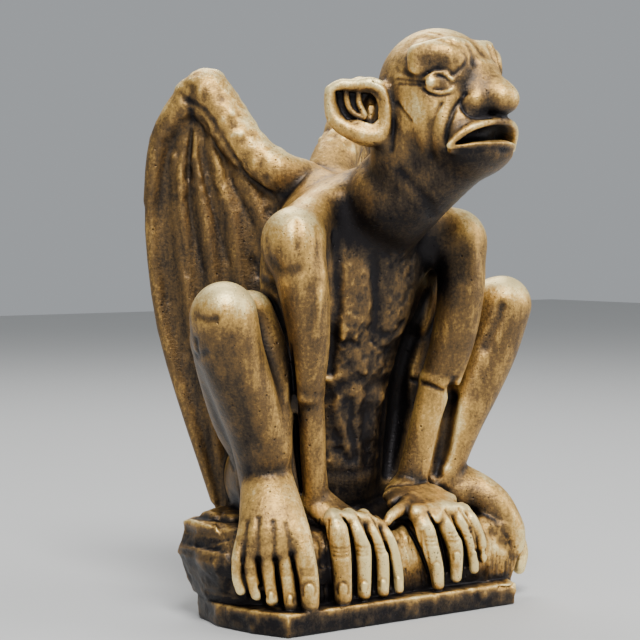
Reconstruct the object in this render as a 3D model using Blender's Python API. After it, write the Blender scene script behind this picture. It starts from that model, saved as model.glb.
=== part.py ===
"""Crouching gargoyle, cast in one piece with its rock and slab: a winged figure on its haunches, hands between
its feet, head turned to its left.

The figure faces -Y, its own left is +X, and the origin is the middle of the slab's underside. Lengths are in
millimetres and are turned into metres where a point is made. Every shell is added to one bmesh, and the Remesh
modifier then joins them into a single skin, as clay is worked together on a model before it is moulded.
"""

import math

import bmesh
import bpy
from mathutils import Matrix, Vector

# Base: a thin slab with a block of rock on it
SLAB_WIDTH = 164.0
SLAB_DEPTH = 98.0
SLAB_THICKNESS = 11.0
ROCK_HEIGHT = 34.0
ROCK_LEDGE = 8.0

# Figure: its pose is held in shares of its height above the rock
FIGURE_HEIGHT = 240.0
WING_THICKNESS = 5.5
WING_SAG = 1.8
HEAD_TURN_DEG = 13.0
EAR_FLARE_DEG = 35.0

# Skin: the grid that joins the shells, and the share of its faces that is kept
SKIN_GRID = FIGURE_HEIGHT / 170.0
SKIN_KEPT = 0.025
SKIN_SMOOTHING = 2.0

MM = 0.001
ROCK_TOP = SLAB_THICKNESS + ROCK_HEIGHT
SHARE = FIGURE_HEIGHT / 240.0
FRONT = -SLAB_DEPTH / 2 + ROCK_LEDGE
SIDE = SLAB_WIDTH / 2 - ROCK_LEDGE
STONE_COLOUR = (0.30, 0.20, 0.09, 1.0)


def at(x, y, z):
    """A point of the figure, z above the top of the rock, in metres."""
    return Vector((x * SHARE, y * SHARE, ROCK_TOP + z * SHARE)) * MM


def on_rock(x, y, z):
    """A place on the rock, in shares of its half width, millimetres from its front and from its top, for at."""
    return (x * SIDE / SHARE, (FRONT + y) / SHARE, z / SHARE)


def both_sides(build, clay):
    """Build a paired limb on the figure's right (-1) and on its left (+1)."""
    for side in (-1, 1):
        build(clay, side)


def smooth_line(points, steps=5):
    """Points along a Catmull-Rom curve through the given ones; each is a tuple of numbers of one length."""
    ends = [points[0]] + list(points) + [points[-1]]
    line = []
    for before, a, b, after in zip(ends, ends[1:], ends[2:], ends[3:]):
        for step in range(steps):
            t = step / steps
            line.append(
                tuple(
                    0.5 * (2 * q + (r - p) * t + (2 * p - 5 * q + 4 * r - s) * t * t + (3 * q - p - 3 * r + s) * t**3)
                    for p, q, r, s in zip(before, a, b, after)
                )
            )
    return line + [tuple(points[-1])]


def bridge(clay, rings):
    """Close a list of equal rings of vertices into one shell, with a fan over each end."""
    count = len(rings[0])
    for ring, following in zip(rings, rings[1:]):
        for i in range(count):
            j = (i + 1) % count
            clay.faces.new((ring[i], ring[j], following[j], following[i]))
    for ring in (rings[0][::-1], rings[-1]):
        clay.faces.new(ring)


def limb(clay, stations, wide=(1.0, 0.0, 0.0), sides=16):
    """Add a round-ended limb through stations (x, y, z, half width, half depth).

    The half width lies along the direction wide, and the half depth across it.
    """
    line = smooth_line(stations)
    centres = [at(*station[:3]) for station in line]
    sizes = [(station[3] * SHARE * MM, station[4] * SHARE * MM) for station in line]
    rings = []
    for i, (centre, (a, b)) in enumerate(zip(centres, sizes)):
        along = (centres[min(i + 1, len(line) - 1)] - centres[max(i - 1, 0)]).normalized()
        across = (Vector(wide) - along * along.dot(Vector(wide))).normalized()
        third = along.cross(across)
        ends = {0: (-1, (80, 55, 30)), len(line) - 1: (1, (30, 55, 80))}.get(i, (0, (0,)))
        for degrees in ends[1] if i else list(ends[1]) + [0]:
            shrink, push = math.cos(math.radians(degrees)), math.sin(math.radians(degrees))
            middle = centre + along * (ends[0] * push * min(a, b))
            turns = [2 * math.pi * k / sides for k in range(sides)]
            rings.append(
                [
                    clay.verts.new(middle + shrink * (across * a * math.cos(t) + third * b * math.sin(t)))
                    for t in turns
                ]
            )
    bridge(clay, rings)


def lump(clay, centre, radii, turn=Matrix.Identity(4)):
    """Add an egg of clay with the given half sizes, turned about its own centre."""
    size = Matrix.Diagonal(Vector([r * SHARE * MM for r in radii]).to_4d())
    size[3][3] = 1.0
    place = Matrix.Translation(at(*centre)) @ turn @ size
    bmesh.ops.create_uvsphere(clay, u_segments=24, v_segments=14, radius=1.0, matrix=place)


def add_torso(clay):
    """The trunk: narrow waist, deep chest, hunched back, and the mass that closes it to the thighs."""
    limb(
        clay,
        [
            (0, 18, 16, 30, 24),
            (0, 8, 48, 24, 19),
            (0, 2, 70, 25, 19),
            (0, -1, 92, 31, 20),
            (0, -5, 120, 40, 23),
            (0, -8, 143, 40, 21),
            (0, -10, 153, 33, 17),
        ],
    )
    limb(clay, [(0, 16, 8, 52, 14), (0, 13, 50, 58, 12), (0, 9, 88, 58, 11), (0, 6, 104, 46, 10)], sides=20)
    lump(clay, (0, 6, 142), (36, 21, 28))
    for side in (-1, 1):
        lump(clay, (side * 39, -5, 121), (15, 12, 33))
        limb(clay, [(side * 9, -22, 124, 12, 5), (side * 25, -20, 130, 13, 6), (side * 42, -20, 136, 9, 8)], wide=(0, 0, 1))


def add_arm(clay, side):
    """Shoulder, upper arm and forearm, down to the wrist on the rock."""
    across = (side * 0.8, -0.6, 0.0)
    limb(clay, [(0, -12, 158, 17, 15), (side * 28, -16, 152, 13, 13), (side * 49, -23, 140, 12, 12)], wide=(0, 1, 0))
    lump(clay, (side * 51.5, -25, 137), (14.5, 15, 17))
    limb(
        clay,
        [
            (side * 51, -26, 138, 14, 14),
            (side * 49, -31, 115, 12, 12),
            (side * 45, -30, 90, 11, 9.5),
            (side * 41, -24, 67, 10, 7),
        ],
        wide=across,
    )
    limb(
        clay,
        [
            (side * 40, -23, 68, 8.5, 6.8),
            (side * 36, -20, 50, 7.5, 6.2),
            (side * 33, -17, 32, 7.5, 6),
            (side * 30, -15, 16, 8, 6),
        ],
        wide=across,
    )


# Inner thigh and calf of each leg, as limb stations: the left one stands further back, behind the arm
INNER_THIGHS = {
    -1: [(-62, -5, 104, 11, 12), (-57, -8, 84, 12, 14), (-55, -9, 60, 12, 15), (-58, -11, 40, 12, 14)],
    1: [(64, -1, 102, 10, 11), (62, -2, 84, 10, 12), (60, -3, 60, 10, 12), (60, -8, 40, 11, 13)],
}


def add_leg(clay, side):
    """Folded leg: shin to the front, thigh behind it, haunch low at the back."""
    limb(
        clay,
        [
            (side * 87, -20, 105, 15, 15),
            (side * 80, -17, 84, 15, 16),
            (side * 71, -14, 65, 14, 17),
            (side * 61, -11, 44, 13, 16),
            (side * 55, -8, 24, 12.5, 14),
            (side * 54, -9, 10, 12.5, 13),
        ],
    )
    limb(
        clay,
        [
            (side * 85, -15, 103, 15, 14),
            (side * 75, -3, 84, 15, 15),
            (side * 58, 7, 54, 15, 17),
            (side * 46, 11, 36, 14, 17),
            (side * 42, 16, 22, 14, 18),
        ],
    )
    limb(clay, INNER_THIGHS[side])
    limb(clay, [(side * 84, -13, 98, 10, 16), (side * 62, 1, 86, 11, 24), (side * 40, 8, 74, 12, 28)], wide=(0, 1, 0))
    lump(clay, (side * 84, -1, 93), (8, 8, 10))
    lump(clay, (side * 28, 25, 20), (24, 23, 25))


def add_digit(clay, path, thick):
    """One finger or toe along path, with knuckle and tip a little fuller than what lies between."""
    swell = (0.9, 1.05, 0.95, 1.0, 0.85)
    stations = [(x, y, z, thick * s / 2, thick * s / 2) for (x, y, z), s in zip(path, swell)]
    limb(clay, stations, sides=10)


def draped(root, bend, drop):
    """Path of a digit from its root over the rock's edge, where bend is a place on the rock, down by drop."""
    x, y, z = bend
    ease = (0.0, 0.35, 0.72, 1.0)
    return [root] + [on_rock(x, y - e, z - e * (drop + z)) for e in ease]


def add_hands(clay):
    """Both hands, flat on the rock with the fingers hanging over its front edge."""
    knuckles = on_rock(-0.3, 7, -1), on_rock(0.46, 7, 3)
    limb(clay, [(-29, -14, 12, 9, 7), (-25, -24, 6, 12, 6), knuckles[0] + (17, 5)])
    limb(clay, [(29, -14, 14, 10, 7), (28, -24, 9, 19, 6), knuckles[1] + (18, 5)])
    right = ((-0.53, 1, 11.0, 39), (-0.37, 1, 8.5, 35), (-0.22, 1, 7.5, 33), (-0.09, 0, 6.0, 30))
    left = ((0.31, 3, 10.0, 26), (0.45, 4, 9.0, 23), (0.57, 3, 7.0, 19), (0.68, 1, 6.0, 13))
    for fingers in (right, left):
        for x, z, thick, drop in fingers:
            root = on_rock(0.85 * x, 10, z + 3)
            add_digit(clay, draped(root, (x, -0.25 * thick, z), drop), thick)
    limb(clay, [on_rock(0.16, 13, 7) + (4, 4), on_rock(0.1, 5, 4) + (3.5, 3.5), on_rock(0.07, 1, 0) + (3, 3)], sides=10)


def add_feet(clay):
    """Both feet, turned out, with the toes over the front corners of the rock."""
    limb(clay, [(-55, -10, 12, 13, 12), (-61, -22, 4, 16, 9), on_rock(-0.86, 13, -6) + (17, 7)], wide=(0.8, -0.6, 0))
    limb(clay, [(55, -10, 12, 12, 12), (66, -19, 7, 12, 11), on_rock(1.02, 13, -2) + (11, 9)], wide=(0.7, 0.7, 0))
    right = ((-0.73, -2, 10.0, 36), (-0.85, 5, 8.0, 36), (-0.96, 11, 7.5, 34), (-1.06, 17, 7.5, 31), (-1.13, 22, 6.5, 30))
    left = ((1.09, 4, 12.0, 19), (1.14, 15, 8.0, 22), (1.14, 24, 8.0, 22), (1.14, 33, 7.5, 22), (1.13, 41, 7.0, 22))
    for foot, toes in ((-1, right), (1, left)):
        for x, back, thick, drop in toes:
            root = on_rock(0.8 * x + foot * 0.07, 0.75 * back + 8, 2)
            add_digit(clay, draped(root, (x, back, -5), drop), thick)


def head_place():
    """The head's own frame in the figure's: its centre, turned to the left."""
    return Matrix.Translation(Vector((12, -58, 211))) @ Matrix.Rotation(math.radians(HEAD_TURN_DEG), 4, "Z")


def in_head(x, y, z):
    """A point given in the head's own frame (millimetres), as figure millimetres."""
    return tuple(head_place() @ Vector((x, y, z)))


def face_turn():
    """The head's turn, for lumps that are longer one way than the other."""
    return Matrix.Rotation(math.radians(HEAD_TURN_DEG), 4, "Z")


def head_limb(clay, stations, wide=(1.0, 0.0, 0.0), sides=12):
    """A limb whose stations are given in the head's own frame."""
    turned = [in_head(*station[:3]) + tuple(station[3:]) for station in stations]
    limb(clay, turned, wide=tuple(face_turn() @ Vector(wide)), sides=sides)


def add_head(clay):
    """Skull, muzzle, brows, nose and lips, on a neck that reaches forward."""
    limb(
        clay,
        [(1, -18, 146, 25, 22), (6, -41, 166, 23, 23), (12, -62, 177, 19, 18), (16, -76, 183, 16, 15)],
    )
    for centre, radii in (
        ((0, 2, 0), (27, 29, 29)),
        ((0, -6, -14), (27, 22, 20)),
        ((0, -14, -22), (24, 22, 15)),
        ((0, -21, -27), (20, 17, 13)),
        ((0, -36, -5), (8, 8, 7.5)),
    ):
        lump(clay, in_head(*centre), radii, face_turn())
    head_limb(clay, [(0, -20, 12, 7, 6), (0, -27, 6, 7, 6.5), (0, -32, -2, 9, 7.5)])
    for side in (-1, 1):
        head_limb(clay, [(side * 7, -19, 15, 6, 8), (side * 17, -16, 15.5, 6.5, 8.5), (side * 25, -5, 12, 5, 7.5)])
        lump(clay, in_head(side * 19, -15, 3.2), (6, 5, 4.5), face_turn())
        lump(clay, in_head(side * 9.5, -28, -6.5), (6.5, 7.5, 6), face_turn())
    upper = [(-22, -28, -26), (-15, -34, -19), (0, -37.5, -15), (15, -34, -19), (22, -28, -26)]
    head_limb(clay, [(x, y, z, 2.8, 2.8) for x, y, z in upper])
    lower = [(-21, -28, -28), (-12, -34, -27), (0, -36, -26), (12, -34, -27), (21, -28, -28)]
    head_limb(clay, [(x, y, z, 2.8, 2.8) for x, y, z in lower])


def ear_point(side, along, up, out=0.0):
    """A point of the ear: along its plate from the cheek outward, up, and out of the plate towards the front."""
    flare = math.radians(EAR_FLARE_DEG)
    x = 27 + along * math.sin(flare) + out * math.cos(flare)
    return in_head(side * x, 13 + along * math.cos(flare) - out * math.sin(flare), up)


def ear_turn(side):
    """Turn of the ear's plate in the figure's frame."""
    return face_turn() @ Matrix.Rotation(math.radians(-side * EAR_FLARE_DEG), 4, "Z")


def add_ear(clay, side):
    """Large ear, swept back: a plate with a lobe, and a rim round it."""
    lump(clay, ear_point(side, 10, -11, -1.5), (3.5, 14, 15), ear_turn(side))
    lump(clay, ear_point(side, 6, -22, -1), (4.5, 9, 8), ear_turn(side))
    rim = [(-1, -2), (5, 2), (16, 1), (24, -3), (24.5, -10), (19, -17), (11, -23), (4, -26), (-1, -20)]
    loop = [ear_point(side, along, up, 1.5) + (3.2, 3.2) for along, up in rim]
    limb(clay, loop, wide=(0, 0, 1), sides=10)


def wing_point(side, out, height):
    """A point on the wing's sheet: out is the distance from its root along the sheet."""
    spread = math.radians(45)
    return (side * (20 + out * math.cos(spread)), 22 + out * math.sin(spread), height)


# Finger bones of the wing, each as (out, height) pairs from the wrist down
WING_BONES = (
    ((49, 211), (65, 189), (70, 159), (69, 129), (64, 94), (54, 59), (44, 29), (37, 8)),
    ((46, 207), (54, 185), (55, 159), (53, 129), (48, 94), (40, 59), (35, 29), (31, 6)),
    ((43, 204), (46, 180), (42, 153), (38, 125), (33, 94), (28, 59), (26, 29), (24, 4)),
    ((40, 200), (36, 176), (28, 149), (24, 121), (20, 94), (18, 59), (18, 29), (18, 2)),
    ((36, 196), (24, 174), (14, 152), (6, 125), (2, 94), (2, 59), (6, 29), (10, 2)),
    ((28, 190), (10, 172), (-2, 152), (-6, 125), (-6, 94), (-6, 59), (-4, 29), (0, 2)),
)


# Arm of each wing from the back to its wrist: x, y, height and radius
WING_ARMS = {
    -1: ((-6, 14, 158, 15), (-10, 22, 167, 12), (-24, 26, 173, 11), (-34, 36, 184, 11), (-42, 44, 199, 12), (-49, 51, 213, 12)),
    1: ((6, 14, 158, 15), (9, 24, 168, 13), (15, 30, 178, 12), (26, 36, 190, 11), (38, 44, 203, 12), (49, 51, 213, 12)),
}


def add_wing(clay, side):
    """Folded wing: a thick arm up to the wrist, and a sheet between finger bones that hang from it."""
    limb(clay, [station + station[3:] for station in WING_ARMS[side]])
    bones = [smooth_line(bone, steps=2) for bone in WING_BONES]
    for bone in bones:
        limb(clay, [wing_point(side, *p) + (3.1, 3.1) for p in bone[::2]], sides=8)
    limb(clay, [wing_point(side, *p) + (r, r) for p, r in zip(WING_BONES[0], (9, 5.5, 3.1))])
    half = WING_THICKNESS / 2 / SHARE
    normal = Vector((side * math.sin(math.radians(45)), -math.cos(math.radians(45)), 0))
    panels = list(zip(bones, bones[1:]))
    rows = []
    for i in range(len(bones[0])):
        row = []
        for first, second in panels:
            for k in range(4):
                t = k / 4
                sag = -WING_SAG * math.sin(math.pi * t)
                out, height = (a + (b - a) * t for a, b in zip(first[i], second[i]))
                row.append(Vector(wing_point(side, out, height)) + normal * sag)
        row.append(Vector(wing_point(side, *bones[-1][i])))
        rows.append(row)
    rings = [
        [clay.verts.new(at(*(p + normal * half))) for p in row] + [clay.verts.new(at(*(p - normal * half))) for p in row[::-1]]
        for row in rows
    ]
    bridge(clay, rings)


def plan(inset, *halves):
    """Plan of the base shrunk by inset: corners of its right half and of its left half, as shares of half sizes."""
    half_width, half_depth = SLAB_WIDTH / 2 - inset, SLAB_DEPTH / 2 - inset
    right = [(-x * half_width, y * half_depth) for x, y in halves[0]]
    left = [(x * half_width, y * half_depth) for x, y in halves[-1][::-1]]
    return right + left


# Corners of one half of each plan, from the middle of the back round to the front corner
SLAB_PLAN = ((0.35, 1.0), (0.7, 0.85), (0.93, 0.4), (1.0, -0.1), (0.96, -0.6), (0.87, -1.0))
ROCK_RIGHT = ((0.4, 1.0), (0.75, 0.9), (1.04, 0.5), (1.1, 0.1), (1.06, -0.35), (0.68, -0.98))
ROCK_LEFT = ((0.4, 1.0), (0.75, 0.9), (1.04, 0.5), (1.12, 0.1), (1.13, -0.7), (1.0, -0.98))


def add_block(clay, levels, *halves):
    """Add a block through levels (height, inset), each ring on the base's plan."""
    rings = []
    for height, inset in levels:
        rings.append([clay.verts.new(Vector((x, y, height)) * MM) for x, y in plan(inset, *halves)])
    bridge(clay, rings)


def add_base(clay):
    """Slab with a rock on it; the slab reaches below the floor, where a cut leaves it flat."""
    below = -2.0 * SKIN_GRID
    add_block(clay, [(below, 0.5), (SLAB_THICKNESS, 0.0)], SLAB_PLAN)
    mid = SLAB_THICKNESS + 0.5 * ROCK_HEIGHT
    levels = [(below, ROCK_LEDGE + 3), (SLAB_THICKNESS, ROCK_LEDGE), (mid, ROCK_LEDGE - 1)]
    add_block(clay, levels + [(ROCK_TOP - 6, ROCK_LEDGE), (ROCK_TOP, ROCK_LEDGE + 7)], ROCK_RIGHT, ROCK_LEFT)
    lump(clay, (0, 20, -2), (62, 25, 14))
    for side in (-1, 1):
        boulder = Vector((side * 0.8 * SLAB_WIDTH / 2, 0.45 * SLAB_DEPTH / 2, SLAB_THICKNESS + 0.45 * ROCK_HEIGHT))
        size = Matrix.Diagonal(Vector((21, 19, 0.62 * ROCK_HEIGHT, 1)))
        place = Matrix.Scale(MM, 4) @ Matrix.Translation(boulder) @ size
        bmesh.ops.create_icosphere(clay, subdivisions=2, radius=1.0, matrix=place)


def cutter(name, build):
    """A helper object that only cuts: it isn't rendered and isn't a part."""
    clay = bmesh.new()
    build(clay)
    bmesh.ops.recalc_face_normals(clay, faces=clay.faces)
    mesh = bpy.data.meshes.new(name)
    clay.to_mesh(mesh)
    clay.free()
    obj = bpy.data.objects.new(name, mesh)
    bpy.context.scene.collection.objects.link(obj)
    obj.hide_render = True
    obj.display_type = "WIRE"
    return obj


def hollows(clay):
    """What is carved out of the head: the open mouth and the bowls of the ears."""
    lump(clay, in_head(0, -34, -20.2), (15, 13, 4.2), face_turn())
    for side in (-1, 1):
        lump(clay, in_head(side * 13, -29, -22.5), (8, 8, 3.4), face_turn())
        lump(clay, ear_point(side, 12, -8, 6), (7, 8, 7), ear_turn(side))


def floor_block(clay):
    """Everything below the floor."""
    size = 2 * max(SLAB_WIDTH, SLAB_DEPTH) * MM
    bmesh.ops.create_cube(clay, size=size, matrix=Matrix.Translation((0, 0, -size / 2)))


def add_modifiers(obj, mouth_and_ears, floor):
    """Join the shells into one skin, carve it, thin its faces out, and cut it flat at the floor."""
    remesh = obj.modifiers.new("join", "REMESH")
    remesh.mode = "VOXEL"
    remesh.voxel_size = SKIN_GRID * MM
    smooth = obj.modifiers.new("soften", "SMOOTH")
    smooth.factor = 0.5
    smooth.iterations = round(SKIN_SMOOTHING)
    thin = obj.modifiers.new("thin_out", "DECIMATE")
    thin.ratio = SKIN_KEPT
    carve = obj.modifiers.new("carve", "BOOLEAN")
    carve.operation = "DIFFERENCE"
    carve.object = mouth_and_ears
    carve.use_self = True
    cut = obj.modifiers.new("flat_underside", "BOOLEAN")
    cut.operation = "DIFFERENCE"
    cut.object = floor


def cast_stone():
    """Cast stone under a dark patina, rubbed back to gold."""
    material = bpy.data.materials.new("cast_stone_gold_patina")
    material.use_nodes = True
    shader = material.node_tree.nodes["Principled BSDF"]
    shader.inputs["Base Color"].default_value = STONE_COLOUR
    shader.inputs["Roughness"].default_value = 0.45
    shader.inputs["Metallic"].default_value = 0.6
    material.diffuse_color = STONE_COLOUR
    return material


def main():
    """Clear the scene and build the gargoyle."""
    for obj in list(bpy.data.objects):
        bpy.data.objects.remove(obj)
    clay = bmesh.new()
    add_base(clay)
    add_torso(clay)
    both_sides(add_arm, clay)
    both_sides(add_leg, clay)
    both_sides(add_wing, clay)
    add_hands(clay)
    add_feet(clay)
    add_head(clay)
    both_sides(add_ear, clay)
    bmesh.ops.recalc_face_normals(clay, faces=clay.faces)
    mesh = bpy.data.meshes.new("gargoyle")
    clay.to_mesh(mesh)
    clay.free()
    gargoyle = bpy.data.objects.new("gargoyle", mesh)
    bpy.context.scene.collection.objects.link(gargoyle)
    gargoyle.data.materials.append(cast_stone())
    add_modifiers(gargoyle, cutter("hollows", hollows), cutter("floor", floor_block))


main()
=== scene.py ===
"""Finished surface of the gargoyle: one casting with its rock and slab, under a bronze and gold patina.

The casting is worked as clay is. Masses are put on, joined and carved in a field of distances, in
millimetres in the part's own frame (the figure faces -Y, its left is +X), and the skin of that field is the
mesh. Fine lines are drawn from the photograph's viewpoint and land on the surface that they meet there.
"""

from __future__ import annotations

import logging
import math
from dataclasses import dataclass
from enum import Enum
from typing import Any, Sequence

import bpy
import numpy as np
from mathutils import Matrix, Vector

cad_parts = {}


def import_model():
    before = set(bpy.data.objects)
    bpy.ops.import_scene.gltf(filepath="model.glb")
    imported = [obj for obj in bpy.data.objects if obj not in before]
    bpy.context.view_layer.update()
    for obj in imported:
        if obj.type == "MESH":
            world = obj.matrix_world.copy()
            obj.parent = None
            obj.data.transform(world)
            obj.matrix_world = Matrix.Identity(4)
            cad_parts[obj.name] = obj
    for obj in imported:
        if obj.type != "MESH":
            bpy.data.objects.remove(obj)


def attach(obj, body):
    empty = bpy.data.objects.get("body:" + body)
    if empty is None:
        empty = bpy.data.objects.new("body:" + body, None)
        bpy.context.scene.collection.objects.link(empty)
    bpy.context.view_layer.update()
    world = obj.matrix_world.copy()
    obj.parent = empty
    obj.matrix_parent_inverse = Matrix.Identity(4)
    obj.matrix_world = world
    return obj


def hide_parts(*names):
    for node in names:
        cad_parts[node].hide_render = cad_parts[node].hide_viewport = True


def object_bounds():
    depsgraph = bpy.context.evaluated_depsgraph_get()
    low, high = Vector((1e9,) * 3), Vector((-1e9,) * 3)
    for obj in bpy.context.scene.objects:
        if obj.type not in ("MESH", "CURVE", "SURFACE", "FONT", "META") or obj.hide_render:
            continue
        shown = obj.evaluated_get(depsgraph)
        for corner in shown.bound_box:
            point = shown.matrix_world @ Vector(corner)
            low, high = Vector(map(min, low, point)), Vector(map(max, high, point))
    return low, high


LOG = logging.getLogger("gargoyle")
MM = 0.001
Points = Sequence[Sequence[float]]
Colour = tuple[float, float, float, float]
UPRIGHT = np.eye(3)
SLANT = math.sqrt(0.5)


class Side(Enum):
    """The figure's own right and left, as signs of X."""

    RIGHT = -1
    LEFT = 1


class Join(Enum):
    """What a mass does to the clay it meets."""

    ADD = 1
    CUT = -1


@dataclass(frozen=True)
class Stroke:
    """One line of the sculptor's tool.

    Attributes:
        name: What it draws.
        width: Half its width at the surface, in millimetres.
        depth: How deep it goes; below zero it raises a ridge.
        pixels: Its path, in pixels of the photograph's frame.
    """

    name: str
    width: float
    depth: float
    pixels: Points


@dataclass(frozen=True)
class Egg:
    """Egg-shaped mass of clay, with its middle, its half sizes and the width of its fillet."""

    name: str
    centre: Sequence[float]
    radii: Sequence[float]
    blend: float
    how: Join = Join.ADD


@dataclass(frozen=True)
class Limb:
    """Round-ended limb of clay, through rows of x, y, z, half width and half depth."""

    name: str
    rows: Points
    blend: float
    wide: Sequence[float] = (1, 0, 0)
    how: Join = Join.ADD


def fillet(a: np.ndarray, b: np.ndarray, width: float) -> np.ndarray:
    """How much a fillet of a width fills between two distances."""
    return np.maximum(width - np.abs(a - b), 0) ** 2 * (0.25 / width)


def on_axis(values: np.ndarray, axis: int) -> np.ndarray:
    """Turn a row of values to lie along one of three axes, ready to broadcast."""
    return values.reshape([-1 if k == axis else 1 for k in range(3)])


def both_halves(rows: Points) -> list[Sequence[float]]:
    """Rows from one corner to the middle, and then the same with X turned round, back to the other."""
    return [*rows, *((-x, *rest) for x, *rest in rows[-2::-1])]


def smooth_line(points: Points, steps: int = 4) -> np.ndarray:
    """Run a Catmull-Rom curve through points.

    Args:
        points: Rows of numbers of one length.
        steps: Points made for each stretch between two rows.

    Returns:
        The curve's points, the first and the last row among them.
    """
    rows = np.asarray(points, float)
    ends = np.vstack([rows[:1], rows, rows[-1:]])
    share = (np.arange(steps) / steps)[:, None]
    line = []
    for p, q, r, s in zip(ends, ends[1:], ends[2:], ends[3:]):
        bend = 2 * q + (r - p) * share + (2 * p - 5 * q + 4 * r - s) * share**2
        line.append(0.5 * (bend + (3 * q - p - 3 * r + s) * share**3))
    return np.vstack(line + [rows[-1:]])


def plan_distance(x: np.ndarray, y: np.ndarray, corners: Points) -> np.ndarray:
    """Signed distance from a closed outline in plan, below zero inside.

    Args:
        x: Grid of X values.
        y: Grid of Y values.
        corners: The outline's corners in order.

    Returns:
        The distances, on the grid of x and y together.
    """
    near = np.full(np.broadcast(x, y).shape, 1e6)
    inside = np.zeros(near.shape, bool)
    for (ax, ay), (bx, by) in zip(corners, list(corners[1:]) + [corners[0]]):
        dx, dy = bx - ax, by - ay
        t = np.clip(((x - ax) * dx + (y - ay) * dy) / (dx * dx + dy * dy), 0, 1)
        near = np.minimum(near, (x - ax - t * dx) ** 2 + (y - ay - t * dy) ** 2)
        if dy:
            inside ^= ((ay > y) != (by > y)) & (x < dx * (y - ay) / dy + ax)
    return np.sqrt(near) * np.where(inside, -1, 1)


def read_field(lines: Sequence[np.ndarray], field: np.ndarray, points: np.ndarray) -> np.ndarray:
    """Read a field at points, between its grid lines too.

    Args:
        lines: The grid's lines along X, Y and Z.
        field: The values on the grid.
        points: Rows of x, y and z.

    Returns:
        One value for each point.
    """
    index, part = [], []
    for line, values in zip(lines, points.T):
        i = np.clip(np.searchsorted(line, values) - 1, 0, len(line) - 2)
        index.append(i)
        part.append(np.clip((values - line[i]) / (line[i + 1] - line[i]), 0, 1))
    total = np.zeros(len(points))
    for corner in range(8):
        bits = [(corner >> k) & 1 for k in range(3)]
        weight = np.prod([p if bit else 1 - p for p, bit in zip(part, bits)], axis=0)
        total += weight * field[tuple(i + bit for i, bit in zip(index, bits))]
    return total


def ruler(*stretches: tuple[float, float, float]) -> np.ndarray:
    """Grid lines along one axis from stretches of (start, end, step)."""
    coarse = 1.0
    return np.concatenate([np.arange(a, b, step * coarse) for a, b, step in stretches]).astype(np.float32)


@dataclass(frozen=True)
class PhotoView:
    """The photograph's viewpoint, in millimetres and in pixels of its 640-pixel frame."""

    turn: float = math.radians(37.0)
    rise: float = math.radians(2.7)
    distance: float = 1000.0
    focal: float = 2000.0
    aim_right: float = -12.9
    aim_up: float = 143.8
    frame: float = 640.0

    def axes(self) -> tuple[np.ndarray, np.ndarray, np.ndarray]:
        """Unit vectors to the picture's right, up, and away from the camera."""
        sin_t, cos_t = math.sin(self.turn), math.cos(self.turn)
        sin_r, cos_r = math.sin(self.rise), math.cos(self.rise)
        right = np.array([cos_t, -sin_t, 0.0])
        up = np.array([sin_t * sin_r, cos_t * sin_r, cos_r])
        return right, up, np.array([sin_t * cos_r, cos_t * cos_r, -sin_r])

    def eye(self) -> np.ndarray:
        """Where the camera stands."""
        right, _, away = self.axes()
        return right * self.aim_right + np.array([0, 0, self.aim_up]) - away * self.distance

    def rays(self, pixels: Points) -> np.ndarray:
        """Directions from the camera through pixels, each one long along the line of sight."""
        right, up, away = self.axes()
        at = (np.asarray(pixels, float)[:, :2] - self.frame / 2) / self.focal
        return away + at[:, :1] * right - at[:, 1:] * up

    def at_depth(self, pixel: Sequence[float], depth: float) -> np.ndarray:
        """The point seen at a pixel, depth behind the plane that the camera turns round."""
        return self.eye() + self.rays([pixel])[0] * (self.distance + depth)

    def at_y(self, pixel: Sequence[float], y: float) -> np.ndarray:
        """The point seen at a pixel on the plane of one Y."""
        ray = self.rays([pixel])[0]
        return self.eye() + ray * ((y - self.eye()[1]) / ray[1])

    def camera(self) -> bpy.types.Object:
        """Make the camera and set it as the scene's."""
        right, up, away = (Vector(v) for v in self.axes())
        data = bpy.data.cameras.new("photo_view")
        data.sensor_width = 36.0
        data.lens = 36.0 * self.focal / self.frame
        data.clip_start = 0.01
        camera = bpy.data.objects.new("photo_view", data)
        turn = Matrix((right, up, -away)).transposed().to_4x4()
        camera.matrix_world = Matrix.Translation(Vector(self.eye()) * MM) @ turn
        bpy.context.scene.collection.objects.link(camera)
        bpy.context.scene.camera = camera
        return camera


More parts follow.
